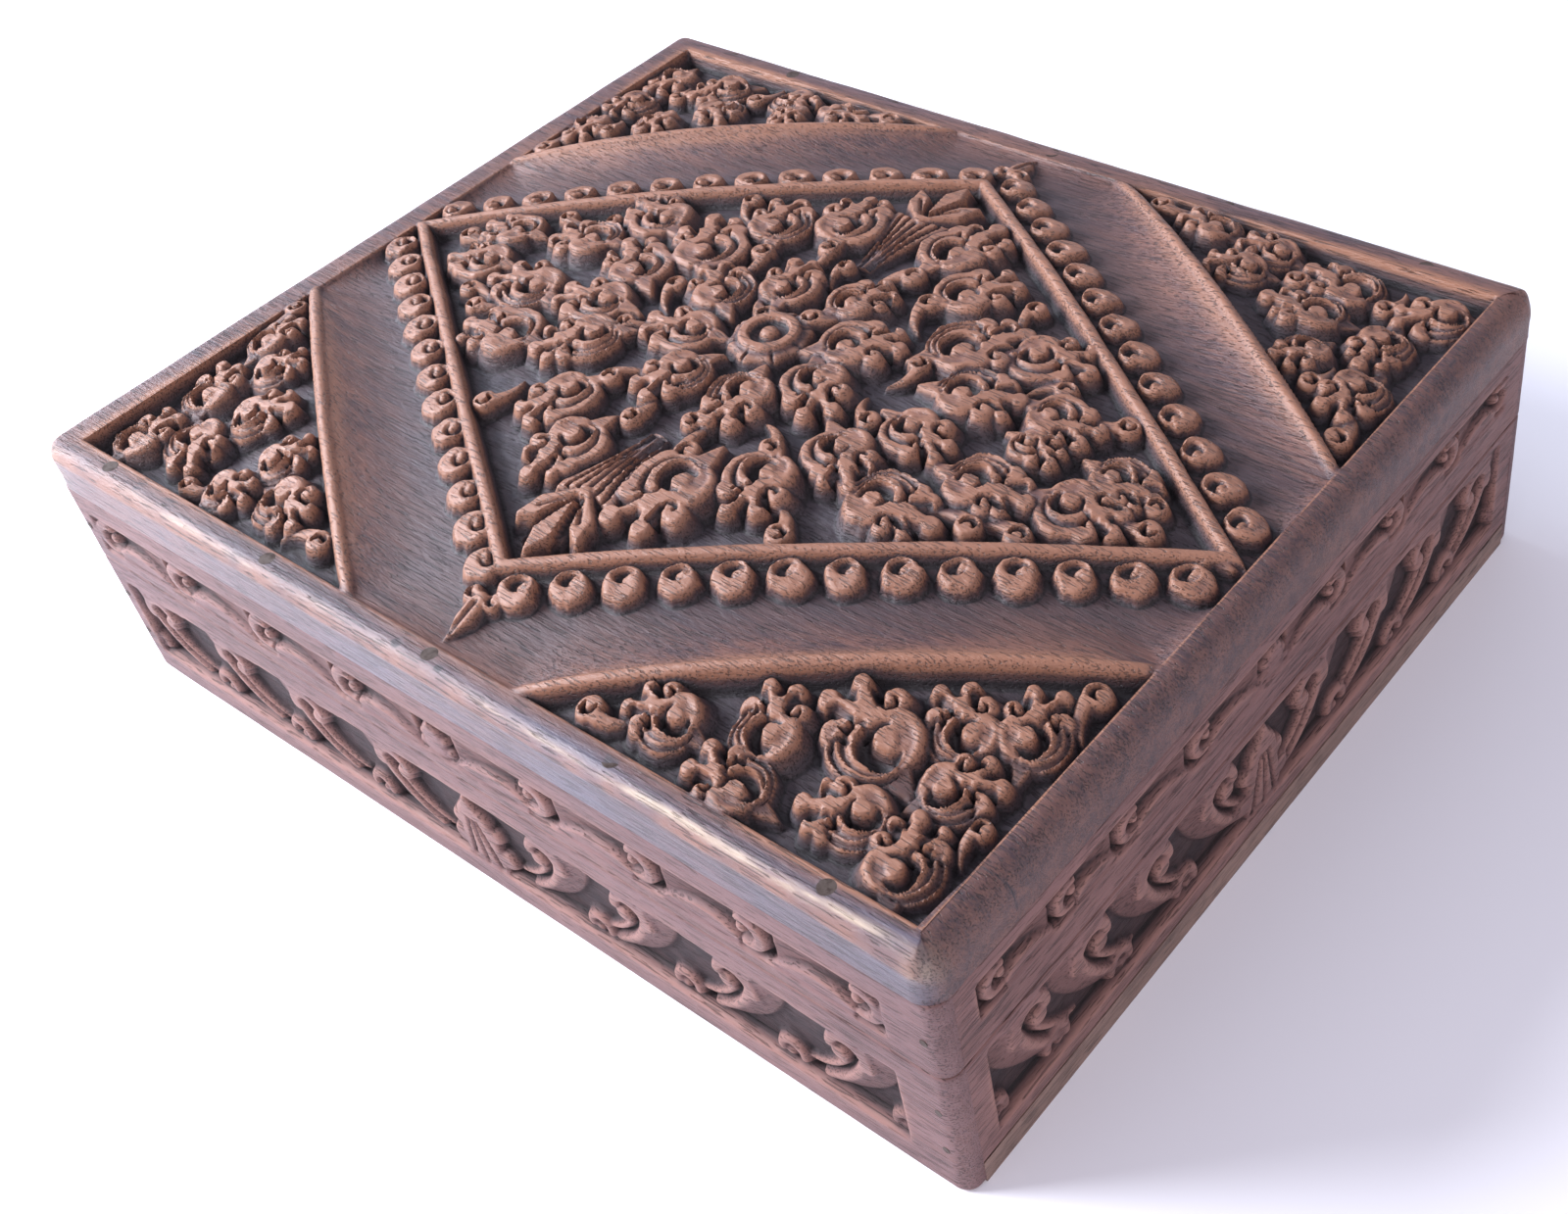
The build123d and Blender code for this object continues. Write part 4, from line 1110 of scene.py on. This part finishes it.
def make_metal(name, body, tarnish, roughness, metallic=1.0):
    """Aged metal: a clean colour under blotches of tarnish."""
    n = Nodes(name)
    blotch = n.noise(n.place((0.5, 0.5, 0.5)), 5, 0.65)
    scratch = n.noise(n.place((0.3, 4.0, 4.0)), 3, 0.6)
    colour = n.mix(n.step(blotch, 0.42, 0.62), body, tarnish)
    rough = n.step(blotch, 0.35, 0.7, roughness, roughness + 0.25)
    relief = n.bump(blotch, 0.4, 0.10, Normal=n.bump(scratch, 0.3, 0.04))
    n.put(n.shader.inputs["Metallic"], metallic)
    return n.finish(colour, rough, relief)


# Ground colours: dirt darkened as painted shade of the carving, the lid's tinted as a painted sky reflection
LID_LOOK = dict(body=(0.134, 0.061, 0.050), dark=(0.060, 0.034, 0.039), light=(0.210, 0.096, 0.066),
                ground=(0.052, 0.044, 0.054), worn=(0.315, 0.144, 0.085), sheen=1.25)
RIM_LOOK = dict(body=(0.172, 0.080, 0.070), dark=(0.112, 0.051, 0.046), light=(0.225, 0.112, 0.096),
                ground=(0.022, 0.014, 0.017), worn=(0.285, 0.145, 0.118), sheen=0.45, specular=0.36)
BOTTOM_LOOK = dict(body=(0.20, 0.125, 0.10), dark=(0.13, 0.08, 0.065), light=(0.27, 0.17, 0.14),
                   ground=(0.08, 0.06, 0.05), worn=(0.27, 0.17, 0.14), sheen=0.2)
BASE_LOOK = dict(body=(0.172, 0.080, 0.071), dark=(0.110, 0.051, 0.047), light=(0.222, 0.111, 0.097),
                 ground=(0.020, 0.013, 0.016), worn=(0.275, 0.140, 0.115), sheen=0.35, specular=0.36)
LID_WOOD = make_wood("lid_wood_carved", **LID_LOOK)
# The woods of the walls by their body and whether the wall is long
WALL_WOODS = {}
for body_name, wood_name, look in (("lid", "rim_wood", RIM_LOOK), ("base", "base_wood", BASE_LOOK)):
    WALL_WOODS[body_name, True] = make_wood(wood_name, **look)
    WALL_WOODS[body_name, False] = make_wood(wood_name + "_short", turn=90, **look)
BOTTOM_WOOD = make_wood("bottom_wood", turn=90, **BOTTOM_LOOK)
NAIL_STEEL = make_metal("nail_steel", (0.085, 0.062, 0.052), (0.045, 0.028, 0.022), 0.60, 0.5)
BRASS = make_metal("hinge_brass", (0.50, 0.37, 0.17), (0.16, 0.11, 0.06), 0.38)
SCREW_BRASS = make_metal("screw_brass", (0.52, 0.40, 0.20), (0.22, 0.15, 0.08), 0.36)


# Carried-over CAD nodes: the material of each, and how far its edges are softened in millimetres

FINISHES = {"bottom_board": (BOTTOM_WOOD, 0.4), "lid_board_nails": (NAIL_STEEL, 0.12)}
for nails in ("bottom_nails", "base_corner_nails", "lid_corner_nails"):
    FINISHES[nails] = (NAIL_STEEL, 0.1)
for body_name in ("base", "lid"):
    FINISHES[f"{body_name}_hinge_screws"] = (SCREW_BRASS, 0.08)
for hinge_side in ("left", "right"):
    for hinge_part in ("base_leaf", "lid_leaf", "pin"):
        FINISHES[f"{hinge_side}_hinge_{hinge_part}"] = (BRASS, 0.1)


def dress_nodes():
    """Materials and slightly softened edges for the nodes that the frame shows as they are."""
    for node, (material, width) in FINISHES.items():
        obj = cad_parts[node]
        obj.data.materials.clear()
        obj.data.materials.append(material)
        bevel = obj.modifiers.new("soft_edges", "BEVEL")
        bevel.width = width * MM
        bevel.segments = 2
        bevel.limit_method = "ANGLE"
        bevel.angle_limit = math.radians(40)


# Stage: floor, light and camera

FLOOR_HALF = 3.0
FLOOR_COLOUR = (0.93, 0.93, 0.97)
ROOM_COLOUR = (0.84, 0.84, 1.0)
ROOM_STRENGTH = 0.70
LIGHT_AIM = Vector((0, 0, 0.04))
# Each light: place in metres, size, watts, colour
LIGHTS = {
    "window": ((-0.72, -0.55, 0.58), 0.55, 25.0, (0.90, 0.92, 1.0)),
    "far_window": ((-1.05, 0.00, 0.58), 0.6, 9.0, (0.72, 0.84, 1.0)),
    "bounce": ((0.9, -0.5, 0.35), 0.9, 4.0, (1.0, 0.86, 0.82)),
}

# Camera, fitted to the box's corners in the photograph. Pixels are those of a 1600 x 1239 image.
IMAGE_WIDTH = 1600
FOCAL_PIXELS = 1944.3
CENTRE_OFFSET_PIXELS = 170
SENSOR_MM = 36.0
AZIMUTH = 44.235
ELEVATION = 43.557
ROLL = -8.797
CAMERA_PLACE = Vector((0.2535, -0.21696, 0.30663))


def make_floor():
    """A plain pale floor."""
    mesh = bpy.data.meshes.new("floor")
    f = FLOOR_HALF
    mesh.from_pydata([(-f, -f, 0), (f, -f, 0), (f, f, 0), (-f, f, 0)], [], [(0, 1, 2, 3)])
    n = Nodes("floor_paper")
    tint = n.noise(n.place((0.004, 0.004, 0.004)), 2, 0.5)
    colour = n.mix(tint, FLOOR_COLOUR, shaded(FLOOR_COLOUR, 1.06))
    mesh.materials.append(n.finish(colour, 0.9))
    floor = bpy.data.objects.new("floor", mesh)
    bpy.context.scene.collection.objects.link(floor)


def make_lights():
    """Cool window light from the left, a warm bounce from the right and a pale room."""
    for name, (place, size, watts, colour) in LIGHTS.items():
        data = bpy.data.lights.new(name, "AREA")
        data.shape = "DISK"
        data.size = size
        data.energy = watts
        data.color = colour
        lamp = bpy.data.objects.new(name, data)
        lamp.location = place
        lamp.rotation_euler = (LIGHT_AIM - lamp.location).to_track_quat("-Z", "Y").to_euler()
        bpy.context.scene.collection.objects.link(lamp)
    world = bpy.data.worlds.new("room")
    bpy.context.scene.world = world
    world.use_nodes = True
    background = world.node_tree.nodes["Background"]
    background.inputs["Color"].default_value = (*ROOM_COLOUR, 1.0)
    background.inputs["Strength"].default_value = ROOM_STRENGTH


def make_camera():
    """The camera at the photograph's angle."""
    data = bpy.data.cameras.new("camera")
    data.sensor_width = SENSOR_MM
    data.lens = SENSOR_MM * FOCAL_PIXELS / IMAGE_WIDTH
    data.shift_x = -CENTRE_OFFSET_PIXELS / IMAGE_WIDTH
    camera = bpy.data.objects.new("camera", data)
    bpy.context.scene.collection.objects.link(camera)
    camera.matrix_world = Matrix.Translation(CAMERA_PLACE)
    for angle, axis in ((AZIMUTH, "Z"), (90 - ELEVATION, "X"), (ROLL, "Z")):
        camera.matrix_world @= Matrix.Rotation(math.radians(angle), 4, axis)
    bpy.context.scene.camera = camera


make_lid_board()
make_walls()
dress_nodes()
make_floor()
make_lights()
make_camera()
bpy.context.scene.view_settings.view_transform = "Standard"
